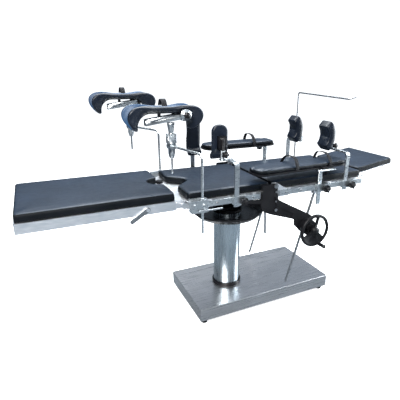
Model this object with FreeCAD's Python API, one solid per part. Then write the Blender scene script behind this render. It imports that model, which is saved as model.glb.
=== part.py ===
import FreeCAD, Part
import math
import os

# Hydraulic operating table with side rails and clamped accessories, in millimetres.
# While it is being built, X runs from the leg end to the head end, Y runs from the left
# side to the right side, Z is up, and the column stands on X = Y = 0.
# At the end every piece is shifted so that the origin is the middle of the footprint.

# Base
base_length = 862.0
base_width = 460.0
base_height = 72.0
base_centre_x = 165.0
base_sheet = 2.5
base_corner = 6.0
foot_height = 29.0
foot_radius = 18.0
foot_inset = 33.0
chassis_rail = 40.0
chassis_plate = 8.0

# Lifting column
sleeve_radius = 77.5
sleeve_wall = 3.0
sleeve_top = 560.0
core_wall = 5.0
core_top = 500.0
lift_travel = 250.0
collar_height = 20.0
collar_width = 8.0
ram_radius = 22.0
bowl_radius = 205.0
bowl_rim_z = 572.0
bowl_depth = 34.0
bowl_wall = 4.0

# Tilting head of the column
side_tilt_z = 612.0
long_tilt_z = 652.0
trunnion_radius = 12.0

# Tabletop
pad_width = 480.0
pad_thickness = 40.0
pad_top = 770.0
pad_edge = 7.0
pad_corner = 16.0
seat_left = -330.0
seam_x = 138.0
back_right = 764.0
seam_gap_seat = 10.5
seam_gap_back = 2.0
notch_width = 186.0
notch_floor = 36.0
notch_depth = 78.0
notch_corner = 22.0
frame_plate = 4.0
frame_channel_height = 36.0
frame_channel_width = 30.0
frame_channel_wall = 3.0
frame_side = 235.0
frame_overhang = 14.0
back_hinge_z = 758.0

# Leg section
leg_left = -1051.0
leg_right = -387.0
leg_rise = 10.0
leg_notch_radius = 60.0
leg_box_height = 45.0
leg_box_sheet = 3.0
leg_hinge_x = -350.0
leg_hinge_z = 714.0

# Head section
head_length = 300.0
head_width = 386.0
head_tilt = 7.2
head_hinge_z = 742.0
head_gap_back = 7.0
head_gap_head = 6.5
head_knuckle = 6.0
head_pin = 3.0
head_lug_y = 120.0
head_lug_width = 16.0
head_tube_radius = 9.0
head_pad_relief = 6.0

# Accessory rails
rail_height = 30.0
rail_thickness = 10.0
rail_y = 262.0
rail_top = 728.0
seat_rail_left = -331.0
seat_rail_right = 50.0
back_rail_left = 168.0
back_rail_right = 748.0

# Back section drive
cheek_thickness = 14.0
cheek_inner = 262.0
arm_thickness = 10.0
arm_inner = 247.0
hinge_pin_radius = 8.0
gear_x = 352.0
gear_z = 502.0
gearbox_radius = 44.0
wheel_radius = 93.0
wheel_rim = 7.0
wheel_y = 355.0
grip_length = 62.0

# Stay rods under the back section
stay_x = 446.0
stay_y = 214.0
stay_z = 672.0
stay_foot_x = 288.0
stay_foot_z = 126.0
stay_radius = 7.5

# Clamped accessories, one value for the left side and one for the right side
bar_width = 25.0
bar_thickness = 8.0
bar_y = 274.0
rod_radius = 6.0
rod_y = 286.0
leg_post_x = (-276.0, -300.0)
leg_post_top = (958.0, 985.0)
leg_post_low = (578.0, 605.0)
leg_reach_x = (-59.0, -103.0)
leg_reach_y = (-244.0, 228.0)
leg_bend = 24.0
crutch_length = 350.0
crutch_shift = -38.0
crutch_waist = 42.0
crutch_lobe = 66.0
crutch_shell_thickness = 20.0
crutch_curl = 80.0
crutch_curl_angle = math.radians(84)
crutch_gutter_radius = 72.0
crutch_crown = 38.0
crutch_crown_radius = 420.0
crutch_seat = 162.0
crutch_plate_x = 53.0
crutch_plate_z = 155.0
crutch_plate_radius = 27.0
crutch_beam_left = 126.0
crutch_beam_right = 45.0
crutch_beam_slope = 24.0
crutch_beam_height = 30.0
crutch_beam_width = 38.0
beam_rise = 104.0
holder_clamp_lead = 58.0
holder_clamp_tail = 26.0
holder_clamp_low = 687.0
holder_clamp_high = 747.0
holder_sleeve_radius = 10.0
tee_z = 699.0
tee_length = 124.0
clamp_lip = 4.0
bar_clamp_lead = 18.0
bar_clamp_tail = 54.0
bar_clamp_low = 692.0
bar_clamp_high = 734.0
star_radius = 22.0
lateral_x = (-90.0, -100.0)
lateral_top = 900.0
lateral_low = 680.0
lateral_reach = 70.0
lateral_pad_shift = 40.0
lateral_pad_length = 84.0
lateral_pad_height = (178.0, 258.0)
lateral_pad_low = (904.0, 866.0)
lateral_pad_curl = 48.0
lateral_pad_thick = 28.0
lateral_socket = 48.0
arm_x = (424.0, 412.0)
arm_top = 810.0
arm_low = 618.0
arm_rise = (0.0, 38.0)
arm_plate_out = (104.0, 12.5)
arm_plate_back = (12.5, 62.0)
arm_plate_thickness = 6.0
arm_pivot = (56.0, -34.0)
arm_board_left = (32.0, -20.0)
arm_board_length = (620.0, 505.0)
arm_board_turn = (-3.0, 0.0)
arm_board_width = 140.0
arm_board_centre = (188.0, 312.0)
arm_board_thickness = 10.0
arm_cushion_thickness = 22.0
cushion_inset = 3.0
strap_width = 22.0
strap_thickness = 2.5
strap_rise = 42.0
arm_strap_shares = ((0.37, 0.75), (0.24, 0.64))
shoulder_x = (608.0, 597.0)
shoulder_top = 895.0
shoulder_low = 678.0
shoulder_reach = 128.0
shoulder_pad_height = 172.0
shoulder_pad_width = 90.0
shoulder_pad_thick = 46.0
screen_x = 655.0
screen_top = 1182.0
screen_radius = 4.5

# Lock levers
lever_x = 92.0
lever_z = 652.0
lever_y = 252.0
lever_low = 494.0
leg_lever_x = -523.0
leg_lever_z = 720.0
head_lever_x = 806.0
head_lever_z = 712.0

# Clearances
running = 0.05
apart = 0.4

os.makedirs("parts", exist_ok=True)
V = FreeCAD.Vector
X = V(1, 0, 0)
Y = V(0, 1, 0)
Z = V(0, 0, 1)
nodes = {}


def keep(name, *shapes):
    nodes[name] = list(shapes)


def box(x0, x1, y0, y1, z0, z1):
    return Part.makeBox(x1 - x0, y1 - y0, z1 - z0, V(x0, y0, z0))


def bar_at(side, x0, x1, y0, y1, z0, z1):
    """A box on one side of the table; y0 and y1 are distances from the centre line."""
    if side > 0:
        return box(x0, x1, y0, y1, z0, z1)
    return box(x0, x1, -y1, -y0, z0, z1)


def rod(radius, start, end):
    axis = end - start
    return Part.makeCylinder(radius, axis.Length, start, axis)


def fuse(first, *rest):
    whole = first
    for piece in rest:
        whole = whole.fuse(piece)
    return whole.removeSplitter()


def turned(shape, centre, axis, degrees):
    copy = shape.copy()
    copy.rotate(centre, axis, degrees)
    return copy


def polygon(points):
    return Part.Face(Part.makePolygon(points + [points[0]]))


def plate_xz(outline, y0, y1):
    """A plate standing along X, from a list of (x, z) corners."""
    face = polygon([V(x, y0, z) for x, z in outline])
    return face.extrude(V(0, y1 - y0, 0))


def side_plate(side, outline, y0, y1):
    if side > 0:
        return plate_xz(outline, y0, y1)
    return plate_xz(outline, -y1, -y0)


def upright_edges(shape):
    return [e for e in shape.Edges if abs(e.tangentAt(e.FirstParameter).z) > 0.999]


def rounded_slab(x0, x1, y0, y1, z0, z1, corner, edge):
    """A cushion form: rounded in plan, with eased top edges."""
    slab = box(x0, x1, y0, y1, z0, z1)
    slab = slab.makeFillet(corner, upright_edges(slab))
    level = [e for e in slab.Edges if e.BoundBox.ZLength < 0.01 and e.BoundBox.ZMin > z1 - 0.01]
    return slab.makeChamfer(edge, level)


def bent_wire(points, bend):
    """Straight runs joined by tangent arcs of one radius."""
    edges = []
    here = points[0]
    for i in range(1, len(points) - 1):
        before = (points[i] - points[i - 1]).normalize()
        after = (points[i + 1] - points[i]).normalize()
        half = before.getAngle(after) / 2.0
        back = bend * math.tan(half)
        enter = points[i] - before * back
        leave = points[i] + after * back
        inward = (after - before).normalize()
        middle = points[i] + inward * (bend / math.cos(half) - bend)
        edges.append(Part.LineSegment(here, enter).toShape())
        edges.append(Part.Arc(enter, middle, leave).toShape())
        here = leave
    edges.append(Part.LineSegment(here, points[-1]).toShape())
    return Part.Wire(edges)


def bent_rod(points, radius, bend):
    path = bent_wire(points, bend)
    start = (points[1] - points[0]).normalize()
    ring = Part.Wire(Part.makeCircle(radius, points[0], start))
    return path.makePipeShell([ring], True, False)


def star_knob(centre, axis, radius, depth):
    """A five-lobed clamping knob with a domed hub, axis pointing away from the clamp."""
    outline = []
    for step in range(40):
        angle = math.radians(9 * step)
        reach = radius * (0.86 + 0.14 * math.cos(5 * angle))
        outline.append(V(reach * math.cos(angle), reach * math.sin(angle), 0))
    grip = polygon(outline).extrude(V(0, 0, depth))
    hub = Part.makeCone(radius * 0.5, radius * 0.34, depth * 0.4, V(0, 0, depth))
    knob = grip.fuse(hub).removeSplitter()
    knob.Placement = FreeCAD.Placement(centre, FreeCAD.Rotation(Z, axis))
    return knob


# Levels and edges that follow from the sizes above
base_top = foot_height + base_height
base_left = base_centre_x - base_length / 2
base_right = base_centre_x + base_length / 2
pad_bottom = pad_top - pad_thickness
plate_bottom = pad_bottom - frame_plate
frame_bottom = plate_bottom - frame_channel_height
half = pad_width / 2
seat_right = seam_x - seam_gap_seat
back_left = seam_x + seam_gap_back
head_hinge_x = back_right + head_gap_back
head_left = head_hinge_x + head_gap_head
rail_bottom = rail_top - rail_height
rail_inner = rail_y - rail_thickness / 2
rail_outer = rail_y + rail_thickness / 2
leg_top = pad_top + leg_rise
leg_pad_bottom = leg_top - pad_thickness
leg_box_bottom = leg_pad_bottom - leg_box_height
leg_eye_radius = 14.0
leg_ear_y = 243.0
leg_notch_x = leg_right - 6
sleeve_bore = sleeve_radius - sleeve_wall
core_radius = sleeve_bore - 2.0


# Base: folded steel cover over a chassis that stands on four rubber feet
def cover_space(low):
    s = base_sheet
    y = base_width / 2 - s
    space = box(base_left + s, base_right - s, -y, y, low, base_top - s)
    return space.makeFillet(base_corner - s, upright_edges(space))


def base_cover():
    y = base_width / 2
    outer = box(base_left, base_right, -y, y, foot_height, base_top)
    outer = outer.makeFillet(base_corner, upright_edges(outer))
    top = [e for e in outer.Edges if e.BoundBox.ZMin > base_top - 0.01]
    outer = outer.makeFillet(base_sheet, top)
    inner = cover_space(foot_height - 1)
    hole = Part.makeCylinder(sleeve_radius + 1.0, base_height * 2, V(0, 0, foot_height))
    return outer.cut(inner).cut(hole)


def base_chassis():
    s = base_sheet
    x0, x1 = base_left + s, base_right - s
    y0 = base_width / 2 - s
    z0 = foot_height
    z1 = z0 + chassis_rail
    pieces = []
    for side in (-1, 1):
        pieces.append(bar_at(side, x0, x1, y0 - chassis_rail, y0, z0, z1))
    bays = 5
    step = (x1 - x0 - chassis_rail) / bays
    for i in range(bays + 1):
        left = x0 + i * step
        pieces.append(box(left, left + chassis_rail, -y0 + chassis_rail, y0 - chassis_rail, z0, z1))
    rib = chassis_rail / 2
    pieces.append(box(x0, x1, -rib, rib, z0, z1))
    wide = core_radius + 40
    pieces.append(box(-wide, wide, -wide, wide, z1, z1 + chassis_plate))
    return fuse(*pieces).common(cover_space(foot_height))


def base_feet():
    feet = []
    for x in (base_left + foot_inset, base_right - foot_inset):
        for side in (-1, 1):
            y = side * (base_width / 2 - foot_inset)
            tread = Part.makeCone(foot_radius - 4, foot_radius - 1, 3, V(x, y, 0))
            feet.append(fuse(tread, Part.makeCone(foot_radius - 1, foot_radius, foot_height - 3, V(x, y, 3))))
    return feet


keep("base_cover", base_cover())
keep("base_chassis", base_chassis())
keep("base_feet", *base_feet())

# Column: a fixed core on the chassis, a sleeve that rides up it, and the pump ram inside
core_foot = foot_height + chassis_rail + chassis_plate


def column_core():
    length = core_top - core_foot
    core = Part.makeCylinder(core_radius, length, V(0, 0, core_foot))
    guide = Part.makeCylinder(sleeve_bore - running, 26, V(0, 0, core_top - 26))
    flange = Part.makeCylinder(core_radius + 24, 8, V(0, 0, core_foot))
    core = fuse(core, guide)
    bore = Part.makeCylinder(core_radius - core_wall, length - 12, V(0, 0, core_foot - 1))
    gland = Part.makeCylinder(ram_radius + running, length, V(0, 0, core_foot + 20))
    core = core.cut(bore).cut(gland)
    return fuse(core, flange.cut(Part.makeCylinder(core_radius - core_wall, 20, V(0, 0, core_foot - 1))))


def collar_ring():
    z = base_top
    outer = Part.makeCylinder(sleeve_radius + collar_width, collar_height, V(0, 0, z))
    top = [e for e in outer.Edges if e.BoundBox.ZMin > z + collar_height - 0.01]
    outer = outer.makeChamfer(3, top)
    return outer.cut(Part.makeCylinder(sleeve_radius + apart, collar_height + 2, V(0, 0, z - 1)))


sleeve_low = base_top - 14.0


def column_sleeve():
    length = sleeve_top - sleeve_low
    sleeve = Part.makeCylinder(sleeve_radius, length, V(0, 0, sleeve_low))
    return sleeve.cut(Part.makeCylinder(sleeve_bore, length + 2, V(0, 0, sleeve_low - 1)))


def lift_ram():
    return Part.makeCylinder(ram_radius, sleeve_top - core_foot - 30, V(0, 0, core_foot + 30))


def bowl_cover():
    """The round dish that hides the tilting head: a raised crown and a turned-down rim."""
    rim = bowl_rim_z
    r0 = sleeve_radius
    profile = [
        V(r0, 0, rim - bowl_depth),
        V(bowl_radius - 26, 0, rim - bowl_depth),
        V(bowl_radius, 0, rim - 10),
        V(bowl_radius, 0, rim),
        V(bowl_radius - bowl_wall, 0, rim),
        V(bowl_radius - bowl_wall - 2, 0, rim - 9),
        V(bowl_radius - 28, 0, rim - bowl_depth + bowl_wall),
        V(r0, 0, rim - bowl_depth + bowl_wall),
    ]
    return polygon(profile).revolve(V(0, 0, 0), Z, 360)


def column_head():
    """Casting on the sleeve with two ears that carry the side tilt pin."""
    cap = Part.makeCylinder(sleeve_radius + 6, 14, V(0, 0, sleeve_top))
    block = box(-62, 62, -46, 46, sleeve_top + 14, side_tilt_z - 26)
    ears = []
    for x0 in (-62, 40):
        ear = box(x0, x0 + 22, -32, 32, sleeve_top + 14, side_tilt_z)
        crown = Part.makeCylinder(32, 22, V(x0, 0, side_tilt_z), X)
        ears.append(ear.fuse(crown))
    pin = Part.makeCylinder(trunnion_radius, 128, V(-64, 0, side_tilt_z), X)
    return fuse(cap, block, pin, *ears)


keep("column_core", column_core())
keep("collar_ring", collar_ring())
keep("column_sleeve", column_sleeve())
keep("lift_ram", lift_ram())
keep("bowl_cover", bowl_cover())
keep("column_head", column_head())


# Tilting head: a cross cradle that rocks sideways on one pin and carries a second pin
# across the table, on which the seat frame tilts lengthways
def tilt_cradle():
    barrel = Part.makeCylinder(24, 79, V(-39.5, 0, side_tilt_z), X)
    beam = box(-24, 24, -118, 118, long_tilt_z - 22, long_tilt_z + 10)
    web = box(-24, 24, -20, 20, side_tilt_z, long_tilt_z)
    across = Part.makeCylinder(trunnion_radius, 292, V(0, -146, long_tilt_z), Y)
    cradle = fuse(barrel, beam, web, across)
    return cradle.cut(Part.makeCylinder(trunnion_radius + running, 140, V(-70, 0, side_tilt_z), X))


keep("tilt_cradle", tilt_cradle())


# Section frames: a steel plate on edge channels and cross channels
def channel_x(x0, x1, y0, y1, z0, z1):
    wall = frame_channel_wall
    tube = box(x0, x1, y0, y1, z0, z1)
    return tube.cut(box(x0 - 1, x1 + 1, y0 + wall, y1 - wall, z0 + wall, z1 - wall))


def section_frame(x0, x1, crossings, width):
    edge = width
    pieces = [box(x0, x1, -edge - frame_overhang, edge + frame_overhang, plate_bottom, pad_bottom)]
    inner = edge - frame_channel_width
    for side in (-1, 1):
        y0, y1 = (inner, edge) if side > 0 else (-edge, -inner)
        pieces.append(channel_x(x0, x1, y0, y1, frame_bottom, plate_bottom))
    for x in crossings:
        pieces.append(box(x, x + 24, -inner, inner, frame_bottom + 6, plate_bottom))
    pieces.append(box(x0, x1, -10, 10, frame_bottom + 10, plate_bottom))
    return fuse(*pieces)


spacer_inner = frame_side
spacer_outer = rail_inner


def rail_spacers(xs):
    blocks = []
    for x in xs:
        for side in (-1, 1):
            blocks.append(bar_at(side, x, x + 22, spacer_inner, spacer_outer, rail_bottom + 3,
                                 plate_bottom))
    return blocks


def seat_frame():
    """Seat frame, with the lugs of the lengthways tilt pin and the cheek mounts."""
    x0 = leg_hinge_x + leg_eye_radius + 4
    frame = section_frame(x0, seat_right - 8, [x0, -150, 22, seat_right - 32], frame_side)
    lugs = []
    for side in (-1, 1):
        lug = bar_at(side, -30, 30, 122, 140, long_tilt_z, frame_bottom + 8)
        eye = Part.makeCylinder(26, 18, V(0, 122 if side > 0 else -140, long_tilt_z), Y)
        lugs.append(lug.fuse(eye))
        lugs.append(bar_at(side, 60, 96, frame_side, cheek_inner, frame_bottom, plate_bottom))
        lugs.append(bar_at(side, -150, 60, 120, frame_side - frame_channel_width,
                           frame_bottom + 4, plate_bottom))
        ear = bar_at(side, leg_hinge_x, x0 + 40, leg_ear_y, leg_ear_y + 8, leg_hinge_z - 13,
                     leg_hinge_z + 10)
        eye = rod(13, V(leg_hinge_x, side * leg_ear_y, leg_hinge_z), V(leg_hinge_x,
                                                                       side * (leg_ear_y + 8), leg_hinge_z))
        lugs.append(ear.fuse(eye))
        lugs.append(bar_at(side, x0, x0 + 40, frame_side, leg_ear_y + 8, leg_hinge_z - 13,
                           leg_hinge_z + 10))
        pin_in = side * (leg_ear_y - 24)
        pin_out = side * (rail_inner - clamp_lip - 2 * apart)
        lugs.append(rod(6, V(leg_hinge_x, pin_in, leg_hinge_z), V(leg_hinge_x, pin_out, leg_hinge_z)))
        cap_in = side * (leg_ear_y + 8)
        lugs.append(rod(15, V(leg_hinge_x, cap_in, leg_hinge_z), V(leg_hinge_x, pin_out, leg_hinge_z)))
    flap = leg_ear_y - 20
    lugs.append(box(leg_right + 9, x0 + 8, -flap, flap, plate_bottom, pad_bottom))
    lugs.append(box(leg_notch_x, x0 + 8, -22, 22, plate_bottom, pad_bottom))
    lugs.append(Part.makeCylinder(22, frame_plate, V(leg_notch_x, 0, plate_bottom)))
    frame = fuse(frame, *lugs, *rail_spacers([-232, 14]))
    return frame.cut(Part.makeCylinder(trunnion_radius + running, 400, V(0, -200, long_tilt_z), Y))


def seat_pad():
    pad = rounded_slab(seat_left, seat_right, -half, half, pad_bottom, pad_top, pad_corner, pad_edge)
    x0, x1 = seat_left - 1, seat_left + notch_depth
    wide, narrow = notch_width / 2, notch_floor / 2
    outline = [V(x0, -wide, pad_bottom - 1), V(x1, -narrow, pad_bottom - 1),
               V(x1, narrow, pad_bottom - 1), V(x0, wide, pad_bottom - 1)]
    notch = polygon(outline).extrude(V(0, 0, pad_thickness + 2))
    inner = [e for e in upright_edges(notch) if e.BoundBox.XMin > x1 - 0.01]
    notch = notch.makeFillet(notch_corner, inner)
    return pad.cut(notch)


def rails(x0, x1):
    pair = []
    for side in (-1, 1):
        rail = bar_at(side, x0, x1, rail_inner, rail_outer, rail_bottom, rail_top)
        long_edges = [e for e in rail.Edges if e.BoundBox.XLength > 1]
        pair.append(rail.makeFillet(1.5, long_edges))
    return pair


keep("seat_frame", seat_frame())
keep("seat_pad", seat_pad())
keep("seat_rails", *rails(seat_rail_left, seat_rail_right))


def notch_knob():
    z = pad_bottom
    stalk = Part.makeCylinder(6, 40, V(leg_notch_x, 0, z))
    disc = Part.makeCylinder(18, leg_top - z - 34, V(leg_notch_x, 0, z + 32))
    disc = disc.makeChamfer(2.5, [e for e in disc.Edges if e.BoundBox.ZLength < 0.01])
    return fuse(stalk, disc)


keep("notch_knob", notch_knob())


# Back hinge: cheeks on the seat section; the left cheek runs out into the gear arm
foot_tip_x = -28.0


def gear_arm():
    y0, y1 = cheek_inner, cheek_inner + cheek_thickness
    outline = [
        (58, 768), (150, 768), (149, 722), (160, 681), (196, 660), (gear_x + 28, gear_z + 60),
        (gear_x + 50, gear_z + 32), (gear_x + 44, gear_z - 16), (gear_x + 12, gear_z - 36),
        (gear_x - 43, gear_z - 18), (gear_x - 73, gear_z + 9), (gear_x - 76, gear_z + 48),
        (111, 606), (85, 618), (60, 633), (50, 672), (foot_tip_x, 684), (foot_tip_x, 696), (58, 696),
    ]
    arm = side_plate(-1, outline, y0, y1)
    rim = side_plate(-1, [(66, 640), (112, 616), (250, 570), (262, 586), (150, 650), (140, 700), (66, 700)],
                     y1 - 4, y1 + 1)
    arm = arm.cut(rim)
    boss = rod(gearbox_radius, V(gear_x, -arm_inner - 6, gear_z), V(gear_x, -wheel_y + 44, gear_z))
    nose = rod(24, V(gear_x, -wheel_y + 46, gear_z), V(gear_x, -wheel_y + 22, gear_z))
    lever_pin = rod(5, V(lever_x, -lever_y + 10, lever_z), V(lever_x, -y0 - 2, lever_z))
    arm = fuse(arm, boss, nose, lever_pin)
    arm = arm.cut(rod(hinge_pin_radius, V(seam_x, -y0 + 30, back_hinge_z), V(seam_x, -y1 - 10,
                                                                             back_hinge_z)))
    return arm.cut(rod(7 + running, V(gear_x, -arm_inner + 30, gear_z), V(gear_x, -wheel_y, gear_z)))


def hinge_cheek():
    outline = [(58, 768), (150, 768), (149, 722), (158, 681), (112, 618), (84, 618), (60, 634)]
    cheek = side_plate(1, outline, cheek_inner, cheek_inner + cheek_thickness)
    corners = [e for e in cheek.Edges if e.BoundBox.YLength > 1]
    cheek = cheek.makeFillet(6, corners)
    return cheek.cut(rod(hinge_pin_radius, V(seam_x, 200, back_hinge_z), V(seam_x, 300, back_hinge_z)))


def hinge_pins():
    pins = []
    for side in (-1, 1):
        inner = arm_inner - 2
        outer = cheek_inner + cheek_thickness
        pin = rod(hinge_pin_radius, V(seam_x, side * inner, back_hinge_z), V(seam_x, side * outer,
                                                                             back_hinge_z))
        head = rod(12, V(seam_x, side * outer, back_hinge_z), V(seam_x, side * (outer + 5), back_hinge_z))
        pins.append(pin.fuse(head))
    for x, z, radius in ((140, 726, 5), (141, 674, 4.5), (144, 626, 8)):
        outer = cheek_inner + cheek_thickness
        pins.append(rod(radius, V(x, -outer, z), V(x, -outer - 4, z)))
    return pins


keep("gear_arm", gear_arm())
keep("hinge_cheek", hinge_cheek())
keep("hinge_bolts", *hinge_pins())


# Handwheel: three spokes, with the sector between the two lower spokes filled
def handwheel():
    centre = V(gear_x, -wheel_y, gear_z)
    middle = wheel_radius - wheel_rim
    section = []
    for step in range(8):
        angle = math.radians(45 * step + 22.5)
        section.append(V(middle + wheel_rim * math.cos(angle), wheel_rim * math.sin(angle), 0))
    rim = polygon(section).revolve(V(0, 0, 0), Y, 360)
    rim.translate(centre)
    hub = rod(20, V(gear_x, -wheel_y - 14, gear_z), V(gear_x, -wheel_y + 16, gear_z))
    pieces = [rim, hub]
    for degrees in (78, 208, 318):
        angle = math.radians(degrees)
        reach = wheel_radius - wheel_rim
        tip = centre + V(reach * math.cos(angle), 0, reach * math.sin(angle))
        spoke = box(0, reach, -5, 5, -6.5, 6.5)
        spoke.Placement = FreeCAD.Placement(centre, FreeCAD.Rotation(X, tip - centre))
        pieces.append(spoke)
    sector = Part.makeCylinder(wheel_radius - wheel_rim, 8, V(0, 0, -4), Z, 110)
    sector.rotate(V(0, 0, 0), X, 90)
    sector.rotate(V(0, 0, 0), Y, -208)
    sector.translate(centre)
    pieces.append(sector)
    pieces.append(rod(7, V(gear_x, -wheel_y, gear_z), V(gear_x, -arm_inner - 10, gear_z)))
    return fuse(*pieces)


grip_angle = math.radians(-72)
grip_reach = wheel_radius - 12
grip_x = gear_x + grip_reach * math.cos(grip_angle)
grip_z = gear_z + grip_reach * math.sin(grip_angle)


def crank_stud():
    return rod(4, V(grip_x, -wheel_y - 12, grip_z), V(grip_x, -wheel_y - grip_length, grip_z))


def crank_grip():
    start = -wheel_y - 9
    profile = [
        V(4 + running, start, 0), V(9, start, 0), V(11, start - 14, 0), V(9.5, start - 34, 0),
        V(11, start - grip_length + 14, 0), V(7, start - grip_length + 8, 0), V(4 + running,
                                                                                start - grip_length + 8, 0),
    ]
    grip = polygon(profile).revolve(V(0, 0, 0), Y, 360)
    grip.translate(V(grip_x, 0, grip_z))
    return grip


keep("handwheel", fuse(handwheel(), crank_stud()))
keep("crank_grip", crank_grip())


# Lever that hangs below the left cheek and works the tilt lock
def tilt_lever():
    low = V(lever_x + 8, -lever_y, lever_low)
    high = V(lever_x, -lever_y, lever_z)
    stick = rod(6.5, high, low)
    eye = rod(11, V(lever_x, -lever_y + 6, lever_z), V(lever_x, -lever_y - 6, lever_z))
    lever = stick.fuse(eye)
    return lever.cut(rod(5 + running, V(lever_x, -lever_y + 9, lever_z), V(lever_x, -lever_y - 9, lever_z)))


keep("tilt_lever", tilt_lever())


# Back section
def head_knuckle_lug(side, middle, anchor_x):
    """Hinge lug that rises into the gap between the back pad and the head pad."""
    y0, y1 = middle - head_lug_width / 2, middle + head_lug_width / 2
    left = head_hinge_x - head_knuckle
    lug = side_plate(side, [
        (left, head_hinge_z), (head_hinge_x, head_hinge_z), (head_hinge_x - 1, plate_bottom - 14),
        (anchor_x - 20, plate_bottom - 14), (anchor_x - 20, plate_bottom - 3), (left, plate_bottom - 3),
    ], y0, y1)
    eye = rod(head_knuckle, V(head_hinge_x, side * y0, head_hinge_z), V(head_hinge_x, side * y1,
                                                                        head_hinge_z))
    return lug.fuse(eye)


def back_frame():
    x0, x1 = back_left + 16, back_right - 14
    inner = frame_side - frame_channel_width
    frame = section_frame(x0, x1, [x0, 300, stay_x + 30, x1 - 24], frame_side)
    extra = []
    for side in (-1, 1):
        arm = side_plate(side, [
            (seam_x - 14, back_hinge_z - 6), (seam_x - 10, back_hinge_z + 12), (seam_x + 12,
                                                                                back_hinge_z + 12),
            (232, plate_bottom - 4), (232, frame_bottom), (168, frame_bottom), (150, 716),
        ], arm_inner, arm_inner + arm_thickness)
        extra.append(arm)
        extra.append(bar_at(side, 172, 228, frame_side, arm_inner, frame_bottom, plate_bottom))
        for y in (stay_y - 14, stay_y + 8):
            extra.append(bar_at(side, stay_x - 14, stay_x + 14, y, y + 6, stay_z - 12, frame_bottom + 1))
        extra.append(rod(5, V(stay_x, side * (stay_y - 14), stay_z), V(stay_x, side * (stay_y + 14),
                                                                       stay_z)))
        for shift in (-1, 1):
            middle = head_lug_y + shift * (head_lug_width + apart)
            extra.append(head_knuckle_lug(side, middle, x1))
    frame = fuse(frame, *extra, *rail_spacers([232, 512, 716]))
    for side in (-1, 1):
        frame = frame.cut(rod(hinge_pin_radius + running, V(seam_x, side * (arm_inner - 9), back_hinge_z),
                              V(seam_x, side * 300, back_hinge_z)))
        start = side * (head_lug_y - head_lug_width * 1.5 - 1)
        end = side * (head_lug_y + head_lug_width * 1.5 + 1)
        frame = frame.fuse(rod(head_pin, V(head_hinge_x, start, head_hinge_z), V(head_hinge_x, end,
                                                                                 head_hinge_z)))
    return frame


def back_pad():
    return rounded_slab(back_left, back_right, -half, half, pad_bottom, pad_top, pad_corner, pad_edge)


def stay_rods():
    rods = []
    for side in (-1, 1):
        y = side * stay_y
        stick = rod(stay_radius, V(stay_x, y, stay_z), V(stay_foot_x, y, stay_foot_z))
        eye = rod(11, V(stay_x, y - 7.5, stay_z), V(stay_x, y + 7.5, stay_z))
        stay = stick.fuse(eye)
        rods.append(stay.cut(rod(5 + running, V(stay_x, y - 9, stay_z), V(stay_x, y + 9, stay_z))))
    return rods


keep("back_frame", back_frame())
keep("back_pad", back_pad())
keep("back_rails", *rails(back_rail_left, back_rail_right))
keep("stay_rods", *stay_rods())


# Head section, built level and then tipped up on its hinge
def tipped(shape):
    return turned(shape, V(head_hinge_x, 0, head_hinge_z), Y, -head_tilt)


def head_frame():
    wide = head_width / 2
    plate = box(head_left + 10, head_left + head_length - 12, -wide + 12, wide - 12, plate_bottom,
                pad_bottom)
    pieces = [plate]
    for side in (-1, 1):
        y = side * (wide - 50)
        pieces.append(rod(head_tube_radius, V(head_left + 50, y, plate_bottom - head_tube_radius + 1),
                          V(head_left + head_length - 40, y, plate_bottom - head_tube_radius + 1)))
        y0, y1 = head_lug_y - head_lug_width / 2, head_lug_y + head_lug_width / 2
        pieces.append(side_plate(side, [
            (head_hinge_x - 1, head_hinge_z), (head_hinge_x + head_gap_head - 0.3, head_hinge_z),
            (head_hinge_x + head_gap_head - 0.3, pad_bottom), (head_left + 30, pad_bottom - 1),
            (head_left + 60, plate_bottom - 12), (head_hinge_x + 9, plate_bottom - 8),
        ], y0, y1))
        pieces.append(rod(head_knuckle, V(head_hinge_x, side * y0, head_hinge_z),
                          V(head_hinge_x, side * y1, head_hinge_z)))
    x, z = head_lever_x, head_lever_z
    pieces.append(box(x - 9, x + 9, -wide + 26, -wide + 32, z - 9, plate_bottom + 1))
    pieces.append(rod(4, V(x, -wide + 30, z), V(x, -wide + 12, z)))
    pieces.append(rod(7, V(x, -wide + 15.5, z), V(x, -wide + 12, z)))
    frame = fuse(*pieces)
    for side in (-1, 1):
        frame = frame.cut(rod(head_pin + running, V(head_hinge_x, side * 60, head_hinge_z),
                              V(head_hinge_x, side * 180, head_hinge_z)))
    return tipped(frame)


def head_pad():
    wide = head_width / 2
    pad = rounded_slab(head_left, head_left + head_length, -wide, wide, pad_bottom, pad_top, pad_corner,
                       pad_edge)
    low = [e for e in pad.Edges if e.BoundBox.XMax < head_left + 0.01 and e.BoundBox.ZMax < pad_bottom + 0.01]
    return tipped(pad.makeChamfer(head_pad_relief, low))


def head_lever():
    y = -head_width / 2 + 21
    x, z = head_lever_x, head_lever_z
    eye = rod(8, V(x, y + 4.5, z), V(x, y - 5, z))
    stick = rod(3.5, V(x, y, z), V(x + 56, y, z - 14))
    grip = rod(5.5, V(x + 30, y, z - 7.5), V(x + 58, y, z - 14.5))
    lever = fuse(eye, stick, grip)
    return tipped(lever.cut(rod(4 + running, V(x, y + 9, z), V(x, y - 9, z))))


keep("head_frame", head_frame())
keep("head_pad", head_pad())
keep("head_lever", head_lever())


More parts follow.
